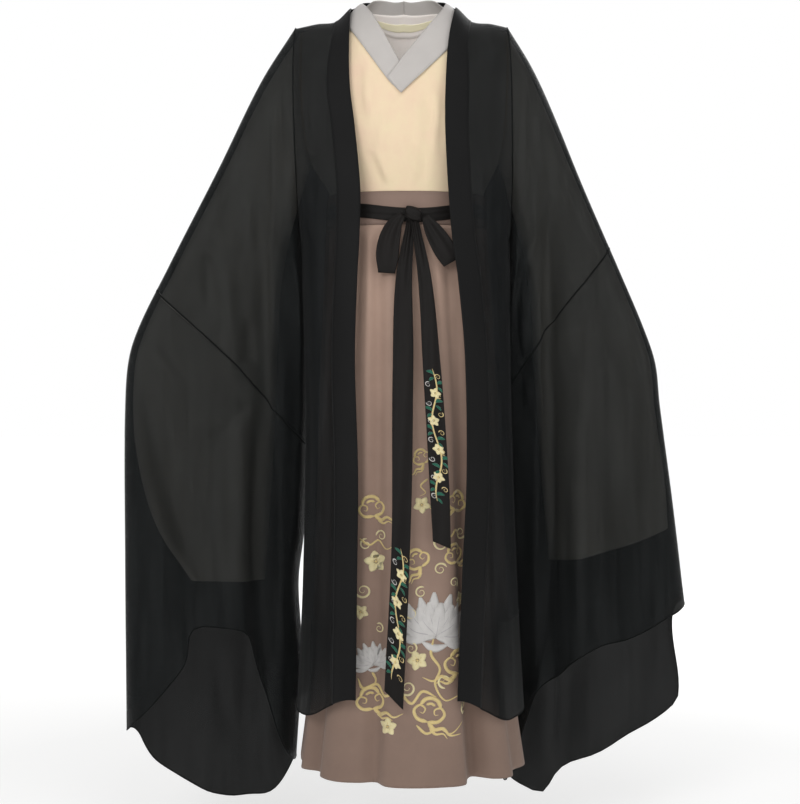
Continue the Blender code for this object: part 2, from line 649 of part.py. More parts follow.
def collar(side):
    """A strip of the top's collar, from the middle of the back neck to the crossing in front."""
    sign = SIGN[side]
    raised = CLOTH + 3 * SEAM
    steps, neck_steps, front_steps = 3, 6, 10
    grid = []
    for turn in range(neck_steps):
        share = math.sin(math.pi / 2 * turn / neck_steps)
        seam_x = sign * max(NECK_HALF * share, SEAM)
        angle = TOP_NECK_ANGLE * neck_curve(share)
        seam = body_point(TOP, seam_x, CHEST - CHEST * math.cos(angle), 1)
        seam = seam + Vector((0, CLOTH, 2 * CLOTH))
        inward = -sign * COLLAR_WIDTH_AT_SHOULDER * share
        free = seam + Vector((inward, -COLLAR_LEAN * (1 - share), COLLAR_RISE))
        free.x = sign * max(sign * free.x, SEAM)
        grid.append([free.lerp(seam, step / steps) for step in range(steps + 1)])
    for turn in range(front_steps + 1):
        share = turn / front_steps
        free_x, free_z = v_line(V_FREE[side], share)
        seam_x, seam_z = v_line(V_SEAM[side], share)
        row = []
        for step in range(steps + 1):
            x = free_x + (seam_x - free_x) * step / steps
            z = free_z + (seam_z - free_z) * step / steps
            lapped = 1 + ease((share - 0.55) / 0.2) * (side == "l")
            row.append(body_point(TOP, x, level_at(TOP, x, z), -1, raised * lapped * ease(share / 0.2)))
            row[-1].z += (CLOTH + 4 * SEAM) * (1 - ease(share / 0.2))
        grid.append(row)
    cloth("top_collar_" + side, grid, CLOTH, GREY, flip=side == "r")


def belt_z(angle):
    """The middle height of the belt round the waist: it dips a little towards the knot."""
    return BELT_Z - BELT_DIP * math.exp(-((angle - KNOT_ANGLE) / 28) ** 2)


def belt_ring():
    """The belt round the waistband."""
    grid = []
    angles = [360 * step / WAIST_STEPS for step in range(WAIST_STEPS)]
    for edge in (BELT_WIDTH / 2, -BELT_WIDTH / 2):
        grid.append([skirt_point(angle, belt_z(angle) + edge, SEAM + RIBBON_CLOTH) for angle in angles])
    cloth("belt_round_waist", grid, RIBBON_CLOTH, RIBBON, closed=True, flip=True)


def belt_knot():
    """The knot: a rounded lump of ribbon in front of the belt."""
    mesh = bpy.data.meshes.new("belt_knot")
    shape = bmesh.new()
    bmesh.ops.create_uvsphere(shape, u_segments=14, v_segments=9, radius=1.0)
    for vert in shape.verts:
        squared = Vector([math.copysign(abs(c) ** 0.7, c) for c in vert.co])
        vert.co = Vector((squared.x * KNOT_SIZE.x, squared.y * KNOT_SIZE.y, squared.z * KNOT_SIZE.z)) / 2
        vert.co.z -= vert.co.x * 0.25
    shape.to_mesh(mesh)
    shape.free()
    mesh.shade_smooth()
    mesh.materials.append(fabric("belt_knot", *RIBBON))
    piece = bpy.data.objects.new("belt_knot", mesh)
    piece.location = KNOT
    bpy.context.scene.collection.objects.link(piece)


def bow_loop(side):
    """A loop of the bow: the ribbon goes out from the knot, turns over and comes back behind."""
    loop = BOW_LOOPS[side]
    steps, wide = 16, 3
    grid = []
    for row in range(wide + 1):
        across = row / wide - 0.5
        ring = []
        for step in range(steps):
            turn = 2 * math.pi * step / steps
            out = (1 - math.cos(turn)) / 2
            middle = path_point(loop["path"], out)
            ahead = path_point(loop["path"], min(out + 0.02, 1.0))
            ahead -= path_point(loop["path"], max(out - 0.02, 0.0))
            sideways = Vector((ahead.z, 0, -ahead.x)).normalized()
            width = smooth_value(loop["widths"], out)
            gap = loop["gap"] / 2 * math.sin(turn) * (0.5 + 0.5 * out)
            ring.append(middle + sideways * width * across + Vector((0, -gap, 0)))
        grid.append(ring)
    cloth("belt_loop_" + side, grid, RIBBON_CLOTH, RIBBON, closed=True, flip=side == "r")


def belt_tail(name):
    """A free end of the ribbon, hanging from the knot over the skirt."""
    tail = BELT_TAILS[name]
    steps, rows = 3, 16
    grid = []
    for row in range(rows + 1):
        share = row / rows
        left, right = path_point(tail["left"], share), path_point(tail["right"], share)
        points = []
        for step in range(steps + 1):
            point = left.lerp(right, step / steps)
            points.append(point + Vector((0, -0.0015 * math.sin(math.pi * step / steps), 0)))
        grid.append(points)
    cloth("belt_tail_" + name, grid, RIBBON_CLOTH, RIBBON)


def belt():
    """The ribbon belt: round the waist, its knot, two loops and two tails."""
    belt_ring()
    belt_knot()
    for side in ("r", "l"):
        bow_loop(side)
    for name in ("long", "short"):
        belt_tail(name)


robe()
top()
skirt()
belt()
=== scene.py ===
import math
from collections import namedtuple

import bpy
import numpy as np
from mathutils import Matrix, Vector, noise


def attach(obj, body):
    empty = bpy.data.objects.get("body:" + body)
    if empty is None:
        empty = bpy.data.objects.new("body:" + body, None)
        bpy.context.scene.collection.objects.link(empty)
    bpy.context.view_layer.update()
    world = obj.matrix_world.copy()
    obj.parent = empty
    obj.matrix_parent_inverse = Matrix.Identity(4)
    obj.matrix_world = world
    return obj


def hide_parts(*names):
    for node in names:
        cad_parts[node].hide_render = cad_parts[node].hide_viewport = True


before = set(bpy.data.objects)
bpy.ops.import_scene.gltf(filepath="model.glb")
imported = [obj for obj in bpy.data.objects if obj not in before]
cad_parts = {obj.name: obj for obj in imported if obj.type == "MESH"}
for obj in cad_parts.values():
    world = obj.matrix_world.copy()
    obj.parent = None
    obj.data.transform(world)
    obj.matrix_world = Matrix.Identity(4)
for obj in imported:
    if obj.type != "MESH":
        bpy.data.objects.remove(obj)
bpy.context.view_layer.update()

# The view of the photograph
# The set is seen straight from the front, level with the hips, from about 2.5 m away.
# Where it hangs, the picture is 1.48 m wide.
VIEW_DISTANCE = 2.5
VIEW_WIDTH = 1.48
VIEW_CENTRE = Vector((-0.0074, 0.0, -0.716))

bpy.ops.object.select_all(action="DESELECT")
bpy.ops.object.camera_add(location=VIEW_CENTRE - Vector((0, VIEW_DISTANCE, 0)),
                          rotation=(math.pi / 2, 0, 0))
camera = bpy.context.object
camera.data.sensor_fit = "HORIZONTAL"
camera.data.sensor_width = 36
camera.data.lens = camera.data.sensor_width * VIEW_DISTANCE / VIEW_WIDTH
bpy.context.scene.camera = camera
bpy.context.scene.view_settings.view_transform = "Standard"

# The studio
# A pale matt floor lies a little below the sleeves, under a white even sky, and glows a little
# more far away, so that it meets the sky softly. Large soft lamps stand in front, to the left
# and the right, another hangs above, and the strongest stands behind.
FLOOR_HEIGHT = -1.56
FLOOR_WIDTH = 60.0
FLOOR_COLOUR = (0.86, 0.86, 0.855)
SKY_SEEN = (1.0, 1.0, 1.0)
SKY_LIGHT = 0.44
FLOOR_GLOW = 0.30
FLOOR_GLOW_WITHIN = 1.2
FAR_GLOW = 0.66
FAR_GLOW_BEYOND = 3.5

Lamp = namedtuple("Lamp", "name place size power")
LAMPS = (
    Lamp("key", (-1.0, -2.6, 0.3), 1.0, 21),
    Lamp("fill", (1.9, -2.8, -0.1), 2.0, 9),
    Lamp("top", (0.1, -1.4, 1.4), 0.8, 9),
    Lamp("back", (0.8, 2.9, 1.4), 2.2, 50),
)


def wired(material, kind, **values):
    """A new node of a material, with some of its inputs set."""
    node = material.node_tree.nodes.new(kind)
    for key, value in values.items():
        if key in node.inputs:
            node.inputs[key].default_value = value
        else:
            setattr(node, key.lower(), value)
    return node


def map_range(material, value, low, high, at_low=0.0, at_high=1.0):
    """A value of a material, moved from one range to another."""
    node = wired(material, "ShaderNodeMapRange")
    for name, number in (("From Min", low), ("From Max", high), ("To Min", at_low), ("To Max", at_high)):
        node.inputs[name].default_value = number
    material.node_tree.links.new(value, node.inputs["Value"])
    return node.outputs["Result"]


bpy.ops.mesh.primitive_plane_add(size=FLOOR_WIDTH, location=(0, 0, FLOOR_HEIGHT))
floor = bpy.context.object
floor.name = "floor"
paint = bpy.data.materials.new("floor_paint")
paint.use_nodes = True
shader = paint.node_tree.nodes["Principled BSDF"]
shader.inputs["Base Color"].default_value = (*FLOOR_COLOUR, 1)
shader.inputs["Roughness"].default_value = 0.9
shader.inputs["Specular IOR Level"].default_value = 0.1
shader.inputs["Emission Color"].default_value = (1, 1, 1, 1)
place = wired(paint, "ShaderNodeTexCoord")
distance = wired(paint, "ShaderNodeVectorMath", operation="LENGTH")
paint.node_tree.links.new(place.outputs["Object"], distance.inputs[0])
glow = map_range(paint, distance.outputs["Value"], FLOOR_GLOW_WITHIN, FAR_GLOW_BEYOND, FLOOR_GLOW, FAR_GLOW)
paint.node_tree.links.new(glow, shader.inputs["Emission Strength"])
floor.data.materials.append(paint)

for lamp in LAMPS:
    bpy.ops.object.light_add(type="AREA", location=lamp.place)
    light = bpy.context.object
    light.name = lamp.name
    light.data.size = lamp.size
    light.data.energy = lamp.power
    light.rotation_euler = (VIEW_CENTRE - light.location).to_track_quat("-Z", "Y").to_euler()

sky = bpy.data.worlds.new("sky")
bpy.context.scene.world = sky
sky.use_nodes = True
sky_nodes = sky.node_tree.nodes
background = sky_nodes["Background"]
background.inputs["Color"].default_value = (1, 1, 1, 1)
background.inputs["Strength"].default_value = SKY_LIGHT
seen = sky_nodes.new("ShaderNodeBackground")
seen.inputs["Color"].default_value = (*SKY_SEEN, 1)
path = sky_nodes.new("ShaderNodeLightPath")
chosen = sky_nodes.new("ShaderNodeMixShader")
sky.node_tree.links.new(path.outputs["Is Camera Ray"], chosen.inputs["Fac"])
sky.node_tree.links.new(background.outputs[0], chosen.inputs[1])
sky.node_tree.links.new(seen.outputs[0], chosen.inputs[2])
sky.node_tree.links.new(chosen.outputs[0], sky_nodes["World Output"].inputs["Surface"])

# The skirt
# Two panels of mauve-brown cloth are sewn into a stiff waistband of the same cloth. They fall
# in soft folds to a wavy hem just above the floor. The waistband ties at the back.
SEAM = 0.0003
SQUARENESS = 2.4
WAIST_TOP = -0.341
WAIST_LOW = -0.401
SKIRT_HEM = -1.372
SKIRT_SIDE_GAP = 0.06
SKIRT_ROWS = 160
SKIRT_PATCH = 0.05
SKIRT_UNEVENNESS = 0.0006
GATHER_START = 0.03
GATHER_FADE = 0.7
GATHER_HALF_WIDTH = 3.2
BAND_ROWS = 14
BAND_STEPS = 180
BAND_PUFF = 0.0006
BAND_SHELL = 0.0016
SHELL = 0.0008

Ring = namedtuple("Ring", "level half_width front back middle")
SKIRT_RINGS = (
    Ring(-1.390, 0.206, 0.180, 0.180, 0.013),
    Ring(-1.250, 0.188, 0.166, 0.165, 0.012),
    Ring(-1.100, 0.178, 0.152, 0.150, 0.011),
    Ring(-0.800, 0.167, 0.128, 0.120, 0.009),
    Ring(-0.500, 0.154, 0.108, 0.100, 0.006),
    Ring(-0.401, 0.1485, 0.1030, 0.0945, 0.005),
    Ring(-0.341, 0.1455, 0.1004, 0.0919, 0.005),
)

# How far the folds stand out at the hem, by the angle round the skirt in degrees
Wave = namedtuple("Wave", "angle out")
SKIRT_WAVES = (
    Wave(0, 0.000), Wave(14, 0.006), Wave(28, -0.004), Wave(40, 0.016), Wave(50, 0.006),
    Wave(58, -0.026), Wave(64, -0.014), Wave(69, 0.018), Wave(80, 0.026), Wave(92, 0.028),
    Wave(99, 0.020), Wave(104, -0.004), Wave(112, 0.006), Wave(124, 0.014), Wave(136, 0.006),
    Wave(146, -0.014), Wave(158, 0.004), Wave(170, -0.004), Wave(180, 0.000), Wave(196, 0.006),
    Wave(210, -0.012), Wave(226, 0.018), Wave(242, -0.010), Wave(256, 0.012), Wave(270, -0.006),
    Wave(286, 0.018), Wave(304, -0.014), Wave(320, 0.014), Wave(336, -0.012), Wave(348, 0.003),
    Wave(360, 0.000),
)


def ease(share):
    """A soft step from 0 to 1."""
    share = np.clip(share, 0.0, 1.0)
    return share * share * (3 - 2 * share)


def smooth(rows, place):
    """Smooth values at some places, from rows of (place, value)."""
    rows = np.array(sorted(map(tuple, rows)), float)
    at, value = rows[:, 0], rows[:, 1]
    place = np.clip(np.asarray(place, float), at[0], at[-1])
    index = np.clip(np.searchsorted(at, place) - 1, 0, len(at) - 2)
    slope = np.empty(len(at))
    slope[0] = (value[1] - value[0]) / (at[1] - at[0])
    slope[-1] = (value[-1] - value[-2]) / (at[-1] - at[-2])
    slope[1:-1] = (value[2:] - value[:-2]) / (at[2:] - at[:-2])
    span = at[index + 1] - at[index]
    t = (place - at[index]) / span
    bend = span * (slope[index] * t * (1 - t) ** 2 - slope[index + 1] * t * t * (1 - t))
    return value[index] + (value[index + 1] - value[index]) * ease(t) + bend


def read(table, column, place):
    """A column of a table, read smoothly at some places in its first column."""
    return smooth([(row[0], getattr(row, column)) for row in table], place)


def line_point(points, share):
    """Points part of the way along a smooth line through a few points."""
    points = np.array(points, float)
    lengths = np.concatenate([[0], np.cumsum(np.linalg.norm(np.diff(points, axis=0), axis=1))])
    place = np.asarray(share, float) * lengths[-1]
    return np.stack([smooth(np.stack([lengths, points[:, i]], 1), place) for i in range(3)], axis=-1)


# A crease runs through a few points (across, height), has a half width, and stands out or in
Crease = namedtuple("Crease", "route half_width out")
CREASE_STEPS = 13
CREASE_ENDS = 0.3


def crease_height(creases, x, z):
    """How far the listed creases stand out at some places, fading towards their ends."""
    height = np.zeros_like(x)
    for crease in creases:
        route = np.array(crease.route, float)
        steps = np.linspace(0, 1, CREASE_STEPS)
        line = line_point(np.column_stack([route, np.zeros(len(route))]), steps)[:, :2]
        best = np.full(x.shape, 1e9)
        along = np.zeros_like(x)
        for i in range(len(line) - 1):
            start, run = line[i], line[i + 1] - line[i]
            t = ((x - start[0]) * run[0] + (z - start[1]) * run[1]) / (run @ run)
            inside = np.clip(t, 0, 1)
            away = np.hypot(x - start[0] - run[0] * inside, z - start[1] - run[1] * inside)
            nearer = away < best
            best = np.where(nearer, away, best)
            along = np.where(nearer, (i + inside) / (len(line) - 1), along)
        fade = ease(along / CREASE_ENDS) * ease((1 - along) / CREASE_ENDS)
        height += crease.out * fade * np.exp(-(best / crease.half_width) ** 2)
    return height


def unevenness(points, size, out, stretch=3.0):
    """A gentle unevenness of hand-hung cloth, longer down than across."""
    flat = points.reshape(-1, 3)
    scale = np.array([1 / size, 1 / size, 1 / (size * stretch)])
    values = [noise.noise(Vector(p)) for p in flat * scale]
    return out * np.array(values).reshape(points.shape[:-1])


def unit(vectors):
    """Vectors with their lengths made 1."""
    return vectors / np.maximum(np.linalg.norm(vectors, axis=-1, keepdims=True), 1e-9)


def outward(grid, closed, flip):
    """Unit normals of a grid of points, pointing out of the garment."""
    across = np.empty_like(grid)
    if closed:
        across[:] = np.roll(grid, -1, axis=1) - np.roll(grid, 1, axis=1)
    else:
        across[:, 1:-1] = grid[:, 2:] - grid[:, :-2]
        across[:, 0] = grid[:, 1] - grid[:, 0]
        across[:, -1] = grid[:, -1] - grid[:, -2]
    down = np.empty_like(grid)
    down[1:-1] = grid[2:] - grid[:-2]
    down[0] = grid[1] - grid[0]
    down[-1] = grid[-1] - grid[-2]
    normal = unit(np.cross(down, across))
    return -normal if flip else normal


def grid_mesh(name, grid, closed, flip):
    """A mesh through a grid of points, with its UV map in metres across and down the cloth."""
    rows, count = grid.shape[:2]
    columns = count if closed else count - 1
    looped = np.concatenate([grid, grid[:, :1]], axis=1) if closed else grid
    widths = np.linalg.norm(np.diff(looped, axis=1), axis=-1).mean(axis=0)
    lengths = np.linalg.norm(np.diff(grid, axis=0), axis=-1).mean(axis=1)
    u = np.concatenate([[0], np.cumsum(widths)])
    v = -np.concatenate([[0], np.cumsum(lengths)])
    faces, uvs = [], []
    for row in range(rows - 1):
        for column in range(columns):
            after = (column + 1) % count
            corners = [row * count + column, (row + 1) * count + column,
                       (row + 1) * count + after, row * count + after]
            places = [(u[column], v[row]), (u[column], v[row + 1]),
                      (u[column + 1], v[row + 1]), (u[column + 1], v[row])]
            faces.append(corners[::-1] if flip else corners)
            uvs.extend(places[::-1] if flip else places)
    mesh = bpy.data.meshes.new(name)
    mesh.from_pydata(grid.reshape(-1, 3).tolist(), [], faces)
    mesh.uv_layers.new(name="UVMap").data.foreach_set("uv", np.array(uvs).ravel())
    mesh.shade_smooth()
    return mesh


def sheet(name, grid, material, closed=False, flip=False,
          thickness=SHELL, inside=None, replaces=None):
    """A thin closed shell of cloth on a grid of points, which stands for the solid of its name."""
    mesh = grid_mesh(name, grid, closed, flip)
    mesh.materials.append(material)
    if inside:
        mesh.materials.append(inside)
    cloth = bpy.data.objects.new(name + "_cloth", mesh)
    bpy.context.scene.collection.objects.link(cloth)
    wall = cloth.modifiers.new("wall", "SOLIDIFY")
    wall.thickness = thickness
    wall.offset = -1
    if inside:
        wall.material_offset = 1
    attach(cloth, "root")
    if replaces is None:
        replaces = [name]
    if replaces:
        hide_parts(*replaces)
    return cloth


# A wave texture at scale 1 repeats every 0.314 m. Scales of patches and crumples are per metre.
WAVE_REPEAT = 0.314
DYE_SCALE = 9.0
DYE_RANGE = (0.35, 0.65)
CRUMPLE_SCALE = 55.0
CRUMPLE_DEPTH = 0.002
THREAD_DEPTH = 0.0002
THREAD_RELIEF = 0.35


def woven(name, colour, second, roughness, sheen, weave, crumple, alpha=1.0, specular=0.3,
          stretch=(1.0, 1.0, 1.0)):
    """Woven cloth: threads crossing at their real spacing, a soft crumple, and uneven dye."""
    material = bpy.data.materials.new(name)
    material.use_nodes = True
    shader = material.node_tree.nodes["Principled BSDF"]
    links = material.node_tree.links
    shader.inputs["Roughness"].default_value = roughness
    shader.inputs["Sheen Weight"].default_value = sheen
    shader.inputs["Sheen Roughness"].default_value = 0.45
    shader.inputs["Specular IOR Level"].default_value = specular
    shader.inputs["Alpha"].default_value = alpha
    place = wired(material, "ShaderNodeTexCoord")
    dye = wired(material, "ShaderNodeTexNoise", Scale=DYE_SCALE, Detail=5.0, Roughness=0.6)
    drawn = wired(material, "ShaderNodeMapping")
    drawn.inputs["Scale"].default_value = stretch
    links.new(place.outputs["Object"], drawn.inputs["Vector"])
    links.new(drawn.outputs["Vector"], dye.inputs["Vector"])
    tint = wired(material, "ShaderNodeMix", data_type="RGBA")
    tint.inputs[6].default_value = (*colour, 1)
    tint.inputs[7].default_value = (*second, 1)
    links.new(map_range(material, dye.outputs["Fac"], *DYE_RANGE), tint.inputs[0])
    links.new(tint.outputs[2], shader.inputs["Base Color"])
    threads = []
    for direction in ("X", "Y"):
        thread = wired(material, "ShaderNodeTexWave", Scale=WAVE_REPEAT / weave, Distortion=1.2,
                       Detail=1.0)
        thread.bands_direction = direction
        links.new(place.outputs["UV"], thread.inputs["Vector"])
        threads.append(thread)
    both = wired(material, "ShaderNodeMath", operation="MAXIMUM")
    links.new(threads[0].outputs["Fac"], both.inputs[0])
    links.new(threads[1].outputs["Fac"], both.inputs[1])
    rumple = wired(material, "ShaderNodeTexNoise", Scale=CRUMPLE_SCALE, Detail=4.0)
    links.new(place.outputs["Object"], rumple.inputs["Vector"])
    soft = wired(material, "ShaderNodeBump", Strength=crumple, Distance=CRUMPLE_DEPTH)
    links.new(rumple.outputs["Fac"], soft.inputs["Height"])
    fine = wired(material, "ShaderNodeBump", Strength=THREAD_RELIEF, Distance=THREAD_DEPTH)
    links.new(both.outputs[0], fine.inputs["Height"])
    links.new(soft.outputs["Normal"], fine.inputs["Normal"])
    links.new(fine.outputs["Normal"], shader.inputs["Normal"])
    return material


def painted_shade_lower_down(material, high, low, share):
    """Cloth whose colour deepens from one height to a lower one, to a share of its brightness: painted
    shade, for light that falls off lower down.
    """
    links = material.node_tree.links
    shader = material.node_tree.nodes["Principled BSDF"]
    colour = shader.inputs["Base Color"].links[0].from_socket
    place, apart = wired(material, "ShaderNodeTexCoord"), wired(material, "ShaderNodeSeparateXYZ")
    links.new(place.outputs["Object"], apart.inputs[0])
    deeper = wired(material, "ShaderNodeVectorMath", operation="SCALE")
    links.new(colour, deeper.inputs[0])
    links.new(map_range(material, apart.outputs["Z"], low, high, share), deeper.inputs["Scale"])
    links.new(deeper.outputs[0], shader.inputs["Base Color"])


mauve = woven("mauve_cloth", (0.440, 0.302, 0.236), (0.385, 0.262, 0.205), 0.75, 0.12, 0.0007, 0.25)
# The skirt darkens towards its hem: painted shade, for the light falling off lower down.
painted_shade_lower_down(mauve, high=-0.45, low=-1.35, share=0.56)
mauve_inside = woven("mauve_inside", (0.20, 0.14, 0.115), (0.17, 0.12, 0.10), 0.8, 0.1, 0.0007, 0.2)
mauve_band = woven("mauve_waistband", (0.250, 0.172, 0.138), (0.222, 0.151, 0.120), 0.7, 0.12, 0.0006,
                   0.15)


def skirt_surface(angle, z, out=0.0):
    """Points of the skirt by angle from the wearer's left, through the front, and by height."""
    angle, z = np.broadcast_arrays(np.asarray(angle, float), np.asarray(z, float))
    half = read(SKIRT_RINGS, "half_width", z)
    depth = np.where(angle <= 180, read(SKIRT_RINGS, "front", z), read(SKIRT_RINGS, "back", z))
    middle = read(SKIRT_RINGS, "middle", z)
    turn = np.radians(angle)
    flare = np.maximum((WAIST_LOW - z) / (WAIST_LOW - SKIRT_HEM), 0.0)
    wave = read(SKIRT_WAVES, "out", angle % 360) * flare ** 1.1 + out
    normal = unit(np.stack([np.cos(turn) / half, -np.sin(turn) / depth, np.zeros_like(z)], axis=-1))
    across = np.sign(np.cos(turn)) * np.abs(np.cos(turn)) ** (2 / SQUARENESS)
    forward = np.sign(np.sin(turn)) * np.abs(np.sin(turn)) ** (2 / SQUARENESS)
    points = np.stack([middle + half * across, -depth * forward, z], axis=-1)
    return points + normal * wave[..., None]


# Gathers: angle, how far down from the waistband they reach, and how far they stand out
Gather = namedtuple("Gather", "angle length out")
SKIRT_GATHERS = {
    "skirt_front": (
        Gather(24, 0.30, 0.003), Gather(38, 0.45, 0.004), Gather(47, 0.25, -0.003),
        Gather(56, 0.60, 0.0035), Gather(66, 0.35, -0.003), Gather(73, 0.70, 0.003),
        Gather(82, 0.22, -0.002), Gather(98, 0.50, 0.003), Gather(106, 0.80, -0.004),
        Gather(112, 0.85, 0.004), Gather(121, 0.40, -0.003), Gather(129, 0.55, 0.003),
        Gather(142, 0.35, -0.003), Gather(156, 0.45, 0.003),
    ),
    "skirt_back": (
        Gather(200, 0.50, 0.003), Gather(212, 0.35, -0.003), Gather(224, 0.70, 0.004),
        Gather(235, 0.30, -0.003), Gather(246, 0.45, 0.003), Gather(258, 0.60, -0.003),
        Gather(268, 0.80, 0.004), Gather(280, 0.35, -0.003), Gather(292, 0.55, 0.003),
        Gather(305, 0.40, -0.003), Gather(318, 0.65, 0.004), Gather(334, 0.30, -0.003),
    ),
}


def gathered(name, angle, z):
    """How far the skirt's gathers stand out at some places."""
    height = np.zeros(np.broadcast(angle, z).shape)
    below = WAIST_LOW - z
    for gather in SKIRT_GATHERS[name]:
        fade = ease(below / GATHER_START) * ease((gather.length - below) / (GATHER_FADE * gather.length))
        height = height + gather.out * fade * np.exp(-((angle - gather.angle) / GATHER_HALF_WIDTH) ** 2)
    return height


Panel = namedtuple("Panel", "name start end columns flat")
SKIRT_PANELS = (
    Panel("skirt_front", 0, 180, 130, (0.62, 0.985)),
    Panel("skirt_back", 180, 360, 110, (0.60, 0.985)),
)
skirt_grids = {}
for panel in SKIRT_PANELS:
    height = np.linspace(WAIST_LOW - SEAM, SKIRT_HEM, SKIRT_ROWS)[:, None]
    angle = np.linspace(panel.start + SKIRT_SIDE_GAP, panel.end - SKIRT_SIDE_GAP, panel.columns)[None, :]
    grid = skirt_surface(angle, height, gathered(panel.name, angle, height))
    grid += outward(grid, False, True) * unevenness(grid, SKIRT_PATCH, SKIRT_UNEVENNESS)[..., None]
    skirt_grids[panel.name] = grid
    sheet(panel.name, grid, mauve,
          flip=True, inside=mauve_inside)

band_height = np.linspace(WAIST_TOP, WAIST_LOW, BAND_ROWS)[:, None]
band_angle = np.linspace(0, 360, BAND_STEPS, endpoint=False)[None, :]
band_puff = BAND_PUFF * np.sin(np.pi * np.linspace(0, 1, BAND_ROWS))[:, None]
grid = skirt_surface(band_angle, band_height, band_puff)
sheet("skirt_waistband", grid, mauve_band,
      closed=True, flip=True, thickness=BAND_SHELL)

# The side seams of the skirt, and the stitches on the waistband
# The skirt's panels are joined by a narrow seam down each side. A row of small running stitches
# in mauve thread holds the band's two layers along each edge: one is shaped, and then copied.
STITCH_LENGTH = 0.0030
STITCH_WIDTH = 0.0007
STITCH_FLATNESS = 0.7
STITCH_STEP = 0.0048
STITCH_LIFT = 0.0002
SIDE_SEAM_ROWS = 120
SIDE_SEAM_TOP = WAIST_LOW - 0.002
SIDE_SEAM_END = SKIRT_HEM + 0.003

THREAD_SHADE = 0.82
THREAD_SHINE = 1.12
THREAD_PATCHES = 90.0
STRANDS = 520.0
STRAND_DEPTH = 0.0003

CordSize = namedtuple("CordSize", "width height")
SKIRT_SIDE_SEAM = CordSize(0.0030, 0.0016)


def thread_finish(name, colour, roughness=0.55, sheen=0.3, specular=0.4):
    """Sewing or embroidery thread: a twisted lustre across the stitch."""
    material = bpy.data.materials.new(name)
    material.use_nodes = True
    shader = material.node_tree.nodes["Principled BSDF"]
    links = material.node_tree.links
    shader.inputs["Roughness"].default_value = roughness
    shader.inputs["Specular IOR Level"].default_value = specular
    shader.inputs["Sheen Weight"].default_value = sheen
    shader.inputs["Sheen Roughness"].default_value = 0.3
    place = wired(material, "ShaderNodeTexCoord")
    shade = wired(material, "ShaderNodeTexNoise", Scale=THREAD_PATCHES, Detail=3.0)
    links.new(place.outputs["Object"], shade.inputs["Vector"])
    tint = wired(material, "ShaderNodeMix", data_type="RGBA")
    tint.inputs[6].default_value = (*[part * THREAD_SHADE for part in colour], 1)
    tint.inputs[7].default_value = (*[min(part * THREAD_SHINE, 1.0) for part in colour], 1)
    links.new(shade.outputs["Fac"], tint.inputs[0])
    links.new(tint.outputs[2], shader.inputs["Base Color"])
    strands = wired(material, "ShaderNodeTexWave", Scale=STRANDS, Distortion=1.5, Detail=1.0)
    strands.bands_direction = "Y"
    links.new(place.outputs["UV"], strands.inputs["Vector"])
    relief = wired(material, "ShaderNodeBump", Strength=0.5, Distance=STRAND_DEPTH)
    links.new(strands.outputs["Fac"], relief.inputs["Height"])
    links.new(relief.outputs["Normal"], shader.inputs["Normal"])
    return material


def finished(name, mesh, material):
    """A mesh as a finished piece of one material."""
    mesh.shade_smooth()
    mesh.materials.append(material)
    piece = bpy.data.objects.new(name, mesh)
    bpy.context.scene.collection.objects.link(piece)
    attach(piece, "root")
    return piece


def cord(name, line, normals, size, material, closed=False, sides=8):
    """A low rounded cord along a line on the cloth, such as a seam or a rolled hem."""
    ahead = np.gradient(line, axis=0)
    if closed:
        ahead = np.roll(line, -1, axis=0) - np.roll(line, 1, axis=0)
    ahead = unit(ahead)
    beside = unit(np.cross(ahead, normals))
    up = np.cross(beside, ahead)
    turn = 2 * np.pi * np.arange(sides) / sides
    ring = (beside[:, None] * np.cos(turn)[None, :, None] * size.width / 2
            + up[:, None] * np.sin(turn)[None, :, None] * size.height / 2)
    points = line[:, None] + ring
    count, faces = len(line), []
    for row in range(count if closed else count - 1):
        for i in range(sides):
            after, next_row = (i + 1) % sides, (row + 1) % count
            faces.append([row * sides + i, row * sides + after,
                          next_row * sides + after, next_row * sides + i])
    if not closed:
        faces.extend([list(range(sides))[::-1], [(count - 1) * sides + i for i in range(sides)]])
    mesh = bpy.data.meshes.new(name)
    mesh.from_pydata(points.reshape(-1, 3).tolist(), [], faces)
    return finished(name, mesh, material)


def one_stitch():
    """The points and faces of one stitch, lying along X with its middle at the origin."""
    bpy.ops.object.select_all(action="DESELECT")
    bpy.ops.mesh.primitive_uv_sphere_add(segments=6, ring_count=5, radius=0.5,
                                         rotation=(0, math.pi / 2, 0))
    stitch = bpy.context.object
    bpy.ops.object.transform_apply(rotation=True)
    bpy.ops.object.mode_set(mode="EDIT")
    bpy.ops.transform.resize(value=(STITCH_LENGTH, STITCH_WIDTH, STITCH_WIDTH * STITCH_FLATNESS))
    bpy.ops.object.mode_set(mode="OBJECT")
    points = np.array([vert.co for vert in stitch.data.vertices])
    faces = [list(face.vertices) for face in stitch.data.polygons]
    bpy.data.objects.remove(stitch, do_unlink=True)
    return points, faces


STITCH_POINTS, STITCH_FACES = one_stitch()


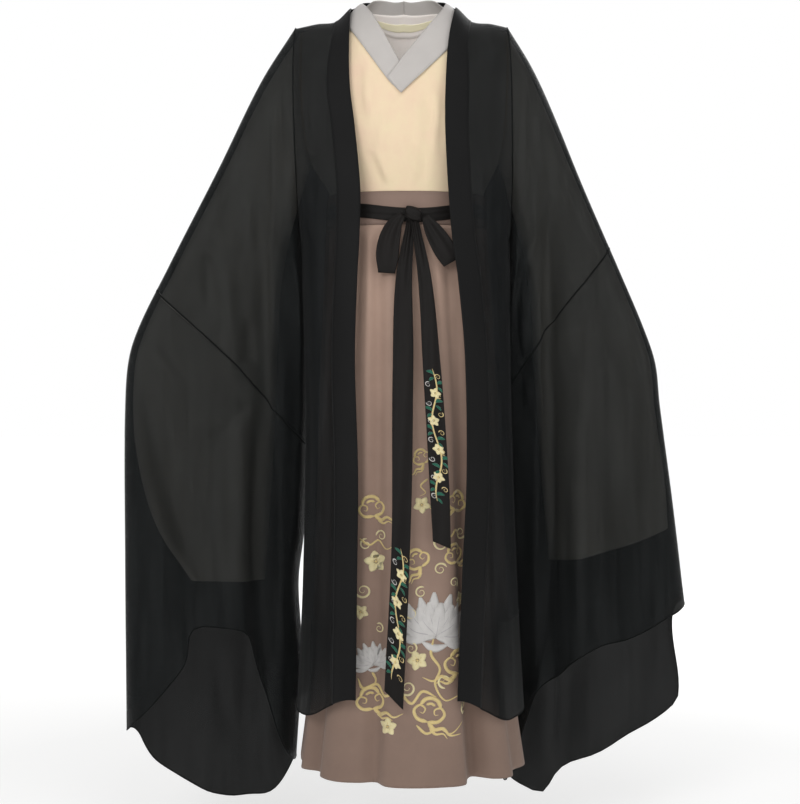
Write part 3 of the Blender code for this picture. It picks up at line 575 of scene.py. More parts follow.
def stitch_row(name, line, normals, material, step=STITCH_STEP):
    """A row of stitches along a line of points on the cloth."""
    lengths = np.concatenate([[0], np.cumsum(np.linalg.norm(np.diff(line, axis=0), axis=1))])
    places = np.arange(step / 2, lengths[-1], step)
    spots = np.stack([np.interp(places, lengths, line[:, i]) for i in range(3)], axis=1)
    ups = unit(np.stack([np.interp(places, lengths, normals[:, i]) for i in range(3)], axis=1))
    ahead = np.stack([np.interp(places + 0.001, lengths, line[:, i]) for i in range(3)], axis=1) - spots
    ahead[np.linalg.norm(ahead, axis=1) < 1e-6] = (0, 0, -1)
    ahead = unit(ahead - ups * (ahead * ups).sum(1, keepdims=True))
    side = np.cross(ups, ahead)
    points, faces = [], []
    for spot, up, along, beside in zip(spots + ups * STITCH_LIFT, ups, ahead, side):
        faces.extend([[len(points) * len(STITCH_POINTS) + i for i in face] for face in STITCH_FACES])
        points.append(spot + STITCH_POINTS @ np.stack([along, beside, up]))
    mesh = bpy.data.meshes.new(name)
    mesh.from_pydata(np.concatenate(points).tolist(), [], faces)
    return finished(name, mesh, material)


mauve_thread = thread_finish("mauve_thread", (0.22, 0.155, 0.128))
normals = outward(grid, True, True)
for row, edge in ((1, "top"), (BAND_ROWS - 2, "low")):
    line, up = np.vstack([grid[row], grid[row, :1]]), np.vstack([normals[row], normals[row, :1]])
    stitch_row("waistband_stitches_" + edge, line, up, mauve_thread)

for angle, side, outside in ((180, "r", -1.0), (0, "l", 1.0)):
    line = skirt_surface(angle, np.linspace(SIDE_SEAM_TOP, SIDE_SEAM_END, SIDE_SEAM_ROWS))
    cord("skirt_side_seam_" + side, line, (outside, 0.0, 0.0), SKIRT_SIDE_SEAM, mauve)

# The embroidery of the skirt
# Silver lotus blossoms, gold cloud scrolls and small pale gold flowers are worked in satin stitch
# low on the skirt's front. Every stroke is a low domed row of threads lying on the cloth.
STROKE_STEP = 0.0022
STROKE_STEPS = (8, 70)
Stroke = namedtuple("Stroke", "route width height shape")
# A stroke's section: places across it from edge to edge, and how high it stands at each
STROKE_SIDES = ((-1.0, -0.1), (-0.62, 0.80), (0.0, 1.0), (0.62, 0.80), (1.0, -0.1))
# How wide each kind of stroke is along its length, as a share of its full width
STROKE_SHAPES = {
    "cord": lambda share: np.minimum(1, np.minimum(share, 1 - share) * 9 + 0.25),
    "petal": lambda share: np.sin(np.pi * (0.04 + 0.92 * share) ** 0.72) ** 0.75,
    "leaf": lambda share: np.sin(np.pi * (0.03 + 0.94 * share)) ** 0.9,
    "wisp": lambda share: (1 - share) ** 0.7 * np.minimum(1, share * 8 + 0.3) + 0.08,
}

gold_thread = thread_finish("gold_thread", (0.72, 0.56, 0.25), 0.42, 0.5)
pale_gold_thread = thread_finish("pale_gold_thread", (0.80, 0.70, 0.40), 0.45, 0.5)
silver_thread = thread_finish("silver_thread", (0.62, 0.60, 0.58), 0.42, 0.6)
lilac_thread = thread_finish("lilac_thread", (0.40, 0.37, 0.39), 0.5, 0.4)
green_thread = thread_finish("green_thread", (0.008, 0.120, 0.070), 0.5, 0.4)


def stroke_mesh(name, strokes, place, material):
    """A group of embroidered strokes as closed low domes, laid on the cloth by a place function."""
    points, faces, uvs, first = [], [], [], 0
    sides = len(STROKE_SIDES)
    for stroke in strokes:
        route = np.column_stack([np.array(stroke.route, float), np.zeros(len(stroke.route))])
        length = np.linalg.norm(np.diff(route, axis=0), axis=1).sum()
        steps = int(np.clip(length / STROKE_STEP, *STROKE_STEPS))
        share = np.linspace(0, 1, steps)
        line = line_point(route, share)[:, :2]
        ahead = unit(np.gradient(line, axis=0))
        beside = np.stack([ahead[:, 1], -ahead[:, 0]], axis=1)
        half = stroke.width / 2 * STROKE_SHAPES[stroke.shape](share)
        full = np.minimum(half / half.max() + 0.3, 1)
        rows = []
        for across, high in STROKE_SIDES:
            flat = line + beside * (half * across)[:, None]
            rows.append(place(flat[:, 0], flat[:, 1], stroke.height * high * full))
        ring = np.stack(rows, axis=1)
        points.append(ring.reshape(-1, 3))
        for row in range(steps - 1):
            for i in range(sides):
                after = (i + 1) % sides
                faces.append([first + row * sides + i, first + row * sides + after,
                              first + (row + 1) * sides + after, first + (row + 1) * sides + i])
                left, right = STROKE_SIDES[i][0] * half[row], STROKE_SIDES[after][0] * half[row]
                low, high = share[row] * length, share[row + 1] * length
                uvs.extend([(left, low), (right, low), (right, high), (left, high)])
        start, end = first, first + (steps - 1) * sides
        faces.extend([[start + i for i in range(sides)][::-1], [end + i for i in range(sides)]])
        uvs.extend([(0, 0)] * 2 * sides)
        first += steps * sides
    mesh = bpy.data.meshes.new(name)
    mesh.from_pydata(np.concatenate(points).tolist(), [], faces)
    mesh.uv_layers.new(name="UVMap").data.foreach_set("uv", np.array(uvs).ravel())
    return finished(name, mesh, material)


def moved(stroke, at, size, turn=0.0, hand=1):
    """A stroke drawn at size 1 round the origin, put at its place, size, turn and hand."""
    turn = math.radians(turn)
    route = np.array(stroke.route, float) * size * np.array([hand, 1])
    spun = np.stack([route[:, 0] * math.cos(turn) - route[:, 1] * math.sin(turn),
                     route[:, 0] * math.sin(turn) + route[:, 1] * math.cos(turn)], axis=1)
    return stroke._replace(route=spun + np.array(at), width=stroke.width * size)


# Motifs at size 1 round the origin
CLOUD_LINES = (
    Stroke(((0, -0.55), (-0.70, -0.42), (-1.02, 0.10), (-0.72, 0.52), (-0.32, 0.34), (-0.40, 0.00),
            (-0.64, 0.06)), 0.30, 0.0011, "wisp"),
    Stroke(((0, -0.55), (0.70, -0.42), (1.02, 0.10), (0.72, 0.52), (0.32, 0.34), (0.40, 0.00),
            (0.64, 0.06)), 0.30, 0.0011, "wisp"),
    Stroke(((-0.70, 0.55), (-0.42, 0.98), (0, 1.12), (0.42, 0.98), (0.70, 0.55)), 0.30, 0.0011, "cord"),
    Stroke(((-0.30, 0.62), (0, 0.74), (0.30, 0.62)), 0.20, 0.0010, "cord"),
    Stroke(((0.05, -0.52), (0.55, -0.98), (1.15, -0.82), (1.65, -1.20), (2.40, -1.02)),
           0.34, 0.0011, "wisp"),
    Stroke(((0.25, -0.92), (0.70, -1.28), (1.20, -1.18), (1.55, -1.48)), 0.24, 0.0010, "wisp"),
)
CURL_LINES = (
    Stroke([((1 - 0.86 * s) * math.cos(9.2 * s), (1 - 0.86 * s) * math.sin(9.2 * s))
            for s in np.linspace(0, 1, 22)], 0.34, 0.0010, "wisp"),
)
FIVE_WAYS = [np.array((math.sin(a), math.cos(a))) for a in np.radians([0, 72, 144, 216, 288])]
BLOSSOM_PETALS = [Stroke((0.16 * way, 0.58 * way, 1.0 * way), 0.86, 0.0011, "petal") for way in FIVE_WAYS]
BLOSSOM_HEART = [Stroke(((-0.14, 0), (0, 0), (0.14, 0)), 0.30, 0.0019, "leaf")]
BLOSSOM_RAYS = [Stroke((0.18 * way, 0.52 * way), 0.07, 0.0016, "cord") for way in FIVE_WAYS]


def lotus_petal(lean, length, width, height=0.0010):
    """One petal of a lotus, leaning out by an angle and curving back up at its tip."""
    lean = math.radians(lean)
    tip = lean * 0.80
    middle = (0.55 * length * math.sin(lean), 0.55 * length * math.cos(lean))
    return Stroke(((0.0, 0.02), middle, (length * math.sin(tip) * 1.04, length * math.cos(tip))),
                  width, height, "petal")


LOTUS_BACK = [lotus_petal(lean, length, 0.36) for lean, length in (
    (-84, 0.94), (-60, 1.00), (-36, 0.98), (36, 0.98), (60, 1.00), (84, 0.94), (-13, 1.04), (13, 1.04))]
LOTUS_FRONT = [lotus_petal(lean, length, 0.38, 0.0019) for lean, length in (
    (-48, 0.78), (48, 0.78), (-24, 0.82), (24, 0.82))] + [lotus_petal(0, 0.80, 0.42, 0.0026)]
LOTUS_VEINS = [petal._replace(width=0.030, height=petal.height + 0.0003, shape="wisp")
               for petal in LOTUS_BACK + LOTUS_FRONT]
LOTUS_LOW = [Stroke(((-0.08, -0.02), (-0.50, -0.16), (-0.92, -0.06)), 0.22, 0.0010, "leaf"),
             Stroke(((0.08, -0.02), (0.50, -0.16), (0.92, -0.06)), 0.22, 0.0010, "leaf"),
             Stroke(((-0.30, -0.17), (0, -0.28), (0.30, -0.17)), 0.20, 0.0014, "leaf")]


skirt_front_normals = outward(skirt_grids["skirt_front"], False, True)


def on_skirt(x, z, out):
    """Points on the skirt's front at some places across and heights, moved out from the cloth."""
    half, middle = read(SKIRT_RINGS, "half_width", z), read(SKIRT_RINGS, "middle", z)
    share = np.clip((x - middle) / half, -1, 1)
    angle = np.degrees(np.arccos(np.sign(share) * np.abs(share) ** (SQUARENESS / 2)))
    front = skirt_grids["skirt_front"]
    rows, columns = front.shape[0] - 1, front.shape[1] - 1
    down = np.clip((WAIST_LOW - SEAM - z) / (WAIST_LOW - SEAM - SKIRT_HEM), 0, 0.9999) * rows
    along = np.clip((angle - SKIRT_SIDE_GAP) / (180 - 2 * SKIRT_SIDE_GAP), 0, 0.9999) * columns
    row, column = down.astype(int), along.astype(int)
    down, along = (down - row)[:, None], (along - column)[:, None]
    found = []
    for grid in (front, skirt_front_normals):
        upper = grid[row, column] * (1 - along) + grid[row, column + 1] * along
        lower = grid[row + 1, column] * (1 - along) + grid[row + 1, column + 1] * along
        found.append(upper * (1 - down) + lower * down)
    return found[0] + found[1] * np.asarray(out)[:, None]


Motif = namedtuple("Motif", "at size turn hand")
GOLD_CLOUDS = (
    Motif((-0.056, -0.905), 0.021, 12, 1), Motif((0.092, -0.895), 0.020, -20, -1),
    Motif((0.031, -0.815), 0.015, 25, -1), Motif((0.090, -1.172), 0.024, -8, -1),
    Motif((-0.057, -1.236), 0.022, 10, 1), Motif((0.040, -1.250), 0.024, -12, 1),
    Motif((0.024, -0.992), 0.019, 30, -1), Motif((0.088, -0.985), 0.019, 14, 1),
)
PALE_BLOSSOMS = (
    Motif((-0.050, -0.995), 0.019, 10, 1), Motif((0.030, -0.895), 0.015, 40, 1),
    Motif((0.022, -1.160), 0.017, 20, 1), Motif((-0.026, -1.272), 0.015, 0, 1),
    Motif((0.102, -1.062), 0.014, 15, 1), Motif((-0.074, -1.082), 0.013, 30, 1),
)
CURLS = (
    Motif((0.062, -0.962), 0.015, 40, 1), Motif((0.104, -0.946), 0.012, 170, -1),
    Motif((0.060, -1.006), 0.011, 20, 1), Motif((-0.070, -1.045), 0.013, 200, 1),
    Motif((0.066, -1.196), 0.012, 90, -1), Motif((-0.040, -0.950), 0.010, 0, -1),
    Motif((0.006, -1.206), 0.013, 220, 1), Motif((0.105, -1.244), 0.013, 120, -1),
    Motif((0.028, -1.045), 0.010, 60, 1), Motif((-0.044, -1.110), 0.009, 300, -1),
    Motif((0.012, -1.080), 0.011, 150, 1), Motif((0.104, -1.120), 0.012, 30, -1),
    Motif((0.012, -1.140), 0.010, 260, -1), Motif((0.100, -1.190), 0.010, 200, 1),
    Motif((-0.066, -0.965), 0.010, 80, 1), Motif((0.084, -1.030), 0.010, 310, 1),
)
LOTUSES = (Motif((0.052, -1.120), 0.072, -9, 1), Motif((-0.054, -1.172), 0.038, 12, 1))
WANDERING = (
    Stroke(((-0.078, -1.195), (-0.070, -1.212), (-0.048, -1.206), (-0.032, -1.222), (-0.010, -1.212),
            (0.012, -1.232), (0.030, -1.212), (0.052, -1.222)), 0.0052, 0.0011, "cord"),
    Stroke(((0.048, -1.124), (0.044, -1.150), (0.058, -1.175), (0.050, -1.200), (0.066, -1.228),
            (0.092, -1.222), (0.108, -1.240)), 0.0056, 0.0011, "wisp"),
    Stroke(((-0.056, -1.185), (-0.050, -1.200), (-0.060, -1.214)), 0.0048, 0.0011, "wisp"),
    Stroke(((-0.076, -0.955), (-0.060, -0.966), (-0.046, -0.958), (-0.030, -0.972), (-0.012, -0.962)),
           0.0046, 0.0011, "wisp"),
    Stroke(((0.100, -0.950), (0.088, -0.940), (0.078, -0.950), (0.062, -0.938), (0.048, -0.950)),
           0.0046, 0.0011, "wisp"),
    Stroke(((0.040, -0.850), (0.028, -0.862), (0.036, -0.874), (0.026, -0.880)), 0.0040, 0.0010, "wisp"),
    Stroke(((0.020, -1.268), (0.036, -1.282), (0.056, -1.274), (0.074, -1.284), (0.096, -1.266)),
           0.0052, 0.0011, "wisp"),
)


def motifs(lines, places):
    """A set of strokes repeated at each of some places."""
    return [moved(line, place.at, place.size, place.turn, place.hand) for place in places for line in lines]


for name, strokes, thread in (
        ("clouds", motifs(CLOUD_LINES, GOLD_CLOUDS) + list(WANDERING), gold_thread),
        ("blossoms", motifs(BLOSSOM_PETALS, PALE_BLOSSOMS), pale_gold_thread),
        ("blossom_hearts", motifs(BLOSSOM_HEART + BLOSSOM_RAYS, PALE_BLOSSOMS), gold_thread),
        ("curls", motifs(CURL_LINES, CURLS), pale_gold_thread),
        ("lotuses", motifs(LOTUS_BACK + LOTUS_FRONT + LOTUS_LOW, LOTUSES), silver_thread),
        ("lotus_veins", motifs(LOTUS_VEINS, LOTUSES), lilac_thread)):
    stroke_mesh("skirt_" + name, strokes, on_skirt, thread)

# The cross-collar top
# A soft cream top with wide-cut sleeves lies under the robe. Its left front laps over the right
# one at the waist, and its lining shows pinkish white inside the neck.
CHEST = -0.165
TOP_ARMPIT = -0.275
TOP_ARM_DEPTH = 0.068
TOP_HEM = -0.46
NECK_HALF = 0.118
COLLAR_SEAM = 0.010
TOP_NECK_ANGLE = math.radians(34)
BACK_NECK_DROP = math.radians(6)
ARMHOLE_GAP = 0.0014
TOP_ARMHOLE_ROWS = 62
TOP_ROWS_BELOW = 33
TOP_COLUMNS = 76
TOP_SIDE_FADE = 0.35
CREASE_END = -0.345
CREASE_FADE = 0.02

# How near a level may lie to the armpit's own, and how the depth is evened out around it
LEVEL_GAP = 0.003
ARMPIT_EVEN = 0.028
ARMPIT_REACH = 0.13
ARMPIT_FADE = 0.07

TOP_RINGS = (
    Ring(-0.460, 0.1425, 0.0990, 0.0900, 0.005),
    Ring(-0.335, 0.1425, 0.0976, 0.0891, 0.005),
    Ring(-0.275, 0.172, 0.108, 0.097, 0.001),
    Ring(-0.165, 0.184, 0.112, 0.100, 0.000),
    Ring(0.000, 0.187, 0.112, 0.100, 0.000),
)
Shoulder = namedtuple("Shoulder", "across z")
TOP_SHOULDER = (
    Shoulder(0.000, 0.045), Shoulder(0.050, 0.031), Shoulder(0.083, 0.0125), Shoulder(0.102, -0.007),
    Shoulder(0.120, -0.0198), Shoulder(0.150, -0.0220), Shoulder(0.187, -0.034),
)
Body = namedtuple("Body", "rings shoulder armpit arm_depth front_folds back_folds")
TOP = Body(TOP_RINGS, TOP_SHOULDER, TOP_ARMPIT, TOP_ARM_DEPTH, (), ())
SIGN = {"r": -1, "l": 1}

cream = woven("cream_cloth", (0.79, 0.665, 0.440), (0.77, 0.575, 0.415), 0.6, 0.3, 0.0005, 0.3)
# Cream cloth takes a paler and greyer colour where it shows through the robe
cream_behind = woven("cream_behind_chiffon", (0.70, 0.67, 0.60), (0.62, 0.60, 0.54), 0.6, 0.2, 0.0005, 0.3)
cream_lining = woven("cream_lining", (0.88, 0.82, 0.78), (0.85, 0.78, 0.73), 0.7, 0.2, 0.0005, 0.2)


def painted_glow(material, colour, strength):
    """A faint painted glow, for light that comes through thin pale cloth and brightens it where it lies in
    shade.
    """
    shader = material.node_tree.nodes["Principled BSDF"]
    shader.inputs["Emission Color"].default_value = (*colour, 1)
    shader.inputs["Emission Strength"].default_value = strength


# The lining glows faintly: painted light that brightens the inside of the neck, which lies in shade.
painted_glow(cream_lining, (0.95, 0.90, 0.86), 0.13)

# Hanging folds: where each lies across, its ends, its half width, and how far it stands out
Fold = namedtuple("Fold", "x top bottom half_width out")
FOLD_START = 0.25
FOLD_END = 0.05


def fold_height(folds, x, z):
    """How far the hanging folds stand out at some places."""
    height = np.zeros(np.broadcast(x, z).shape)
    for fold in folds:
        started = ease((fold.top - z) / FOLD_START) * ease((z - fold.bottom) / FOLD_END)
        height = height + fold.out * started * np.exp(-((x - fold.x) / fold.half_width) ** 2)
    return height


def armhole_depth(body, level):
    """Half the depth of the armhole at some levels, nothing below the armpit."""
    share = np.clip((CHEST - level) / (CHEST - body.armpit), 0.0, 1.0)
    return body.arm_depth * np.sqrt(1 - share ** 2)


def side_at(body, level, sign):
    """Where the side of a garment's body lies across: sign is -1 on the right, 1 on the left."""
    return read(body.rings, "middle", level) + sign * read(body.rings, "half_width", level)


def level_at(body, x, z):
    """The level whose line passes a height above the chest at this place across."""
    rise = (z - CHEST) / (read(body.shoulder, "z", np.abs(x)) - CHEST)
    return np.where(z <= CHEST, z, CHEST - CHEST * np.minimum(rise, 1.0))


def body_surface(body, x, level, face, out=0.0):
    """Points of a garment's body: face is -1 in front, 1 behind. Level 0 is the shoulder line."""
    x, level = np.broadcast_arrays(np.asarray(x, float), np.asarray(level, float))
    half, middle = read(body.rings, "half_width", level), read(body.rings, "middle", level)
    depth = read(body.rings, "front" if face < 0 else "back", level)
    side = armhole_depth(body, level)
    opened = ease((level - body.armpit) / (CHEST - body.armpit))
    share = np.minimum(np.abs(x - middle) / half, 1.0)
    rounded = (1 - share ** SQUARENESS) ** (1 / SQUARENESS)
    hung = np.cos(np.pi / 2 * share ** 1.5)
    reach = side + (depth - side) * (rounded * (1 - opened) + hung * opened)
    reach = reach + fold_height(body.front_folds if face < 0 else body.back_folds, x, level) * rounded
    rise = np.clip((level - CHEST) / -CHEST, 0.0, 1.0)
    z = np.where(level > CHEST, CHEST + (read(body.shoulder, "z", np.abs(x)) - CHEST) * rise, level)
    reach = reach * np.sqrt(1 - rise ** 2)
    return np.stack([x, face * (reach + 1.5 * SEAM + out), z], axis=-1)


def softened(grid, armpit, weight):
    """A grid whose depth runs smoothly past the armpit's level, where weight is 1."""
    z = grid[..., 2].mean(axis=1)
    step = np.abs(np.gradient(z))
    kernel = np.exp(-((z[:, None] - z[None, :]) / ARMPIT_EVEN) ** 2) * step[None, :]
    kernel /= kernel.sum(axis=1, keepdims=True)
    near = ease((ARMPIT_REACH - np.abs(z - armpit)) / ARMPIT_FADE)[:, None] * weight
    even = kernel @ grid[..., 1]
    grid[..., 1] += (even - grid[..., 1]) * near
    return grid


def armhole_levels(body, steps):
    """Levels down the armhole, closer together at its two ends."""
    edge = float(read(body.shoulder, "z", read(body.rings, "half_width", 0.0)))
    z = edge + (body.armpit - edge) * (1 - np.cos(np.pi * np.linspace(0, 1, steps + 1))) / 2
    z = np.append(z[:-1][z[:-1] - body.armpit > LEVEL_GAP], body.armpit)
    return np.where(z > CHEST, CHEST - CHEST * (z - CHEST) / (edge - CHEST), z)


# The V of the top: the seam line of the collar, and its free edge, from the shoulder down
TopV = namedtuple("TopV", "x z")
V_POINT = TopV(-0.0055, -0.170)
V_SEAM = {
    "r": (TopV(-0.118, -0.014), TopV(-0.094, -0.0525), TopV(-0.0305, -0.144), V_POINT),
    "l": (TopV(0.118, -0.014), TopV(0.106, -0.048), TopV(0.0725, -0.0945), V_POINT),
}
V_FREE = {
    "r": (TopV(-0.084, 0.018), TopV(-0.062, -0.010), TopV(-0.006, -0.116), TopV(0.018, -0.147)),
    "l": (TopV(0.080, 0.018), TopV(0.066, -0.012), TopV(-0.013, -0.119), TopV(-0.030, -0.1415)),
}


def v_line(points, share):
    """Points of the V's seam or of the collar's free edge: place across and height."""
    line = line_point([(p.x, 0, p.z) for p in points], share)
    return line[..., 0], line[..., 2]


def neck_curve(share):
    """How far a back neckline has dropped, from 1 in its middle to 0 at the shoulder."""
    return np.cos(np.pi / 2 * np.clip(share, 0, 1)) ** 0.8


def top_neck_height(x):
    """The height of the top's neckline in front at some places across."""
    share = np.linspace(0, 1, 400)
    height = np.empty_like(x)
    for side in ("r", "l"):
        across, z = v_line(V_SEAM[side], share)
        here = (x - V_POINT.x) * SIGN[side] >= 0
        order = np.argsort(np.abs(across - V_POINT.x))
        height[here] = np.interp(np.abs(x[here] - V_POINT.x), np.abs(across - V_POINT.x)[order], z[order])
    return height + COLLAR_SEAM


TOP_CREASES = {
    -1: (
        Crease(((-0.030, -0.190), (-0.036, -0.225), (-0.050, -0.280)), 0.006, 0.0037),
        Crease(((0.010, -0.180), (0.022, -0.215), (0.030, -0.270)), 0.006, 0.0034),
        Crease(((0.026, -0.168), (0.046, -0.190), (0.052, -0.240)), 0.007, -0.0034),
        Crease(((-0.060, -0.110), (-0.064, -0.170), (-0.058, -0.215)), 0.007, 0.0037),
        Crease(((-0.074, -0.100), (-0.080, -0.160), (-0.070, -0.240)), 0.007, -0.0031),
        Crease(((-0.052, -0.262), (-0.036, -0.300), (-0.020, -0.335)), 0.0055, 0.0048),
        Crease(((-0.062, -0.270), (-0.048, -0.305), (-0.036, -0.338)), 0.005, -0.0031),
        Crease(((0.066, -0.130), (0.068, -0.200), (0.062, -0.290)), 0.006, -0.0037),
        Crease(((0.054, -0.150), (0.055, -0.220), (0.050, -0.300)), 0.006, 0.0037),
        Crease(((-0.005, -0.230), (0.000, -0.270), (0.006, -0.320)), 0.008, 0.0031),
        Crease(((0.030, -0.255), (0.034, -0.290), (0.030, -0.335)), 0.006, -0.0031),
        Crease(((0.012, -0.300), (0.014, -0.318), (0.014, -0.337)), 0.004, 0.0026),
    ),
    1: (
        Crease(((-0.060, -0.120), (-0.050, -0.200), (-0.030, -0.330)), 0.012, 0.0026),
        Crease(((0.055, -0.110), (0.052, -0.200), (0.030, -0.330)), 0.012, 0.0026),
        Crease(((0.000, -0.140), (0.005, -0.220), (0.000, -0.330)), 0.012, -0.0026),
    ),
}

# Past this place across, the top lies behind the robe and takes the colour of cloth seen through it
BEHIND_BANDS = 0.100

below = np.linspace(TOP_ARMPIT, TOP_HEM, TOP_ROWS_BELOW + 1)[1:]
for face, name in ((-1, "top_front"), (1, "top_back")):
    levels = np.concatenate([armhole_levels(TOP, TOP_ARMHOLE_ROWS), below])[:, None]
    half, middle = read(TOP_RINGS, "half_width", levels), read(TOP_RINGS, "middle", levels)
    x = middle + half * np.sin(np.pi * (np.linspace(0, 1, TOP_COLUMNS) - 0.5))[None, :]
    if face < 0:
        highest = level_at(TOP, x, top_neck_height(x))
    else:
        turn = (TOP_NECK_ANGLE + BACK_NECK_DROP) * neck_curve(np.abs(x) / NECK_HALF)
        highest = CHEST - CHEST * np.cos(turn)
    highest = np.where(np.abs(x) < NECK_HALF, highest, 0.0)
    lowered = np.where(levels > TOP_ARMPIT,
                       TOP_ARMPIT + (highest - TOP_ARMPIT) * (levels - TOP_ARMPIT) / -TOP_ARMPIT, levels)
    inner = ease((1 - np.abs(np.linspace(-1, 1, TOP_COLUMNS))) / TOP_SIDE_FADE)[None, :]
    grid = softened(body_surface(TOP, x, lowered, face), TOP_ARMPIT, inner)
    height = crease_height(TOP_CREASES[face], grid[..., 0], grid[..., 2])
    height = height * ease((grid[..., 2] - CREASE_END) / CREASE_FADE)
    grid += outward(grid, False, face > 0) * height[..., None]
    body = sheet(name, grid, cream,
                 flip=face > 0, inside=cream_lining)
    body.data.materials.append(cream_behind)
    for polygon in body.data.polygons:
        polygon.material_index = 2 * int(abs(polygon.center.x) > BEHIND_BANDS)

# The sleeves
# Every sleeve is a wide tube that hangs from the arm: its upper edge is the fold over the arm,
# its lower edge a seam. The cuff stays open. The robe's sleeves and the top's are cut alike.
TOP_SLEEVE_ROWS = 140
TOP_SLEEVE_STEPS = 44
TOP_SLEEVE_UNEVENNESS = 0.003
CLOTH_PATCH = 0.045

# Shares of a sleeve's length over which it takes up the armhole's place and depth, and its creases
HOLE_PLACE = 0.2
HOLE_DEPTH = 0.25
CREASES_START = 0.06

# Shares of its width over which the creases fade at the fold and at the lower seam
FOLD_MARGIN = 0.12
SEAM_MARGIN = 0.08

# How far the front and back walls hang apart along a sleeve, and how round its two edges are
Hang = namedtuple("Hang", "along front back top_round low_round")
TOP_HANG = (
    Hang(0.00, 0.068, 0.068, 0.050, 0.050), Hang(0.20, 0.042, 0.042, 0.044, 0.030),
    Hang(0.60, 0.032, 0.032, 0.036, 0.018), Hang(1.00, 0.030, 0.030, 0.024, 0.018),
)
# Each sleeve's upper and lower edge from armhole to cuff, and the cuff's edge on the front and
# back wall. Lag is above 1 where the lower edge runs behind the upper one.
TOP_SLEEVE_LINES = {
    "r": {
        "lag": 1.0,
        "top": ((-0.187, 0, -0.034), (-0.252, 0, -0.134), (-0.328, 0, -0.287), (-0.421, 0, -0.469),
                (-0.487, 0, -0.611), (-0.499, 0, -0.700), (-0.492, 0, -0.816), (-0.458, 0, -0.940),
                (-0.392, 0, -1.045)),
        "low": ((-0.172, 0, -0.275), (-0.226, 0.036, -0.480), (-0.246, 0.078, -0.800),
                (-0.262, 0.066, -1.052)),
        "front": ((-0.392, 0, -1.045), (-0.262, 0.066, -1.052)),
        "back": ((-0.392, 0, -1.045), (-0.262, 0.066, -1.052)),
    },
    "l": {
        "lag": 1.0,
        "top": ((0.187, 0, -0.034), (0.230, 0, -0.111), (0.324, 0, -0.326), (0.394, 0, -0.486),
                (0.437, 0, -0.590), (0.455, 0, -0.650), (0.461, 0, -0.722), (0.480, 0, -0.860),
                (0.486, 0, -0.947)),
        "low": ((0.172, 0, -0.275), (0.230, 0.036, -0.480), (0.256, 0.080, -0.800),
                (0.275, 0.076, -1.016)),
        "front": ((0.486, 0, -0.947), (0.362, 0.045, -1.000), (0.275, 0.076, -1.016)),
        "back": ((0.486, 0, -0.947), (0.362, 0.045, -1.000), (0.275, 0.076, -1.016)),
    },
}
SLEEVE_FOLDS = {
    "r": (
        Fold(-0.256, -0.30, -1.60, 0.020, -0.014), Fold(-0.226, -0.45, -1.60, 0.014, 0.008),
        Fold(-0.300, -0.60, -1.60, 0.022, 0.010), Fold(-0.375, -0.85, -1.60, 0.026, -0.010),
        Fold(-0.440, -0.80, -1.60, 0.026, 0.008),
    ),
    "l": (
        Fold(0.272, -0.28, -1.60, 0.020, -0.014), Fold(0.246, -0.45, -1.60, 0.014, 0.008),
        Fold(0.318, -0.60, -1.60, 0.022, 0.010), Fold(0.372, -0.75, -1.60, 0.024, -0.010),
        Fold(0.440, -0.70, -1.60, 0.026, 0.008),
    ),
}

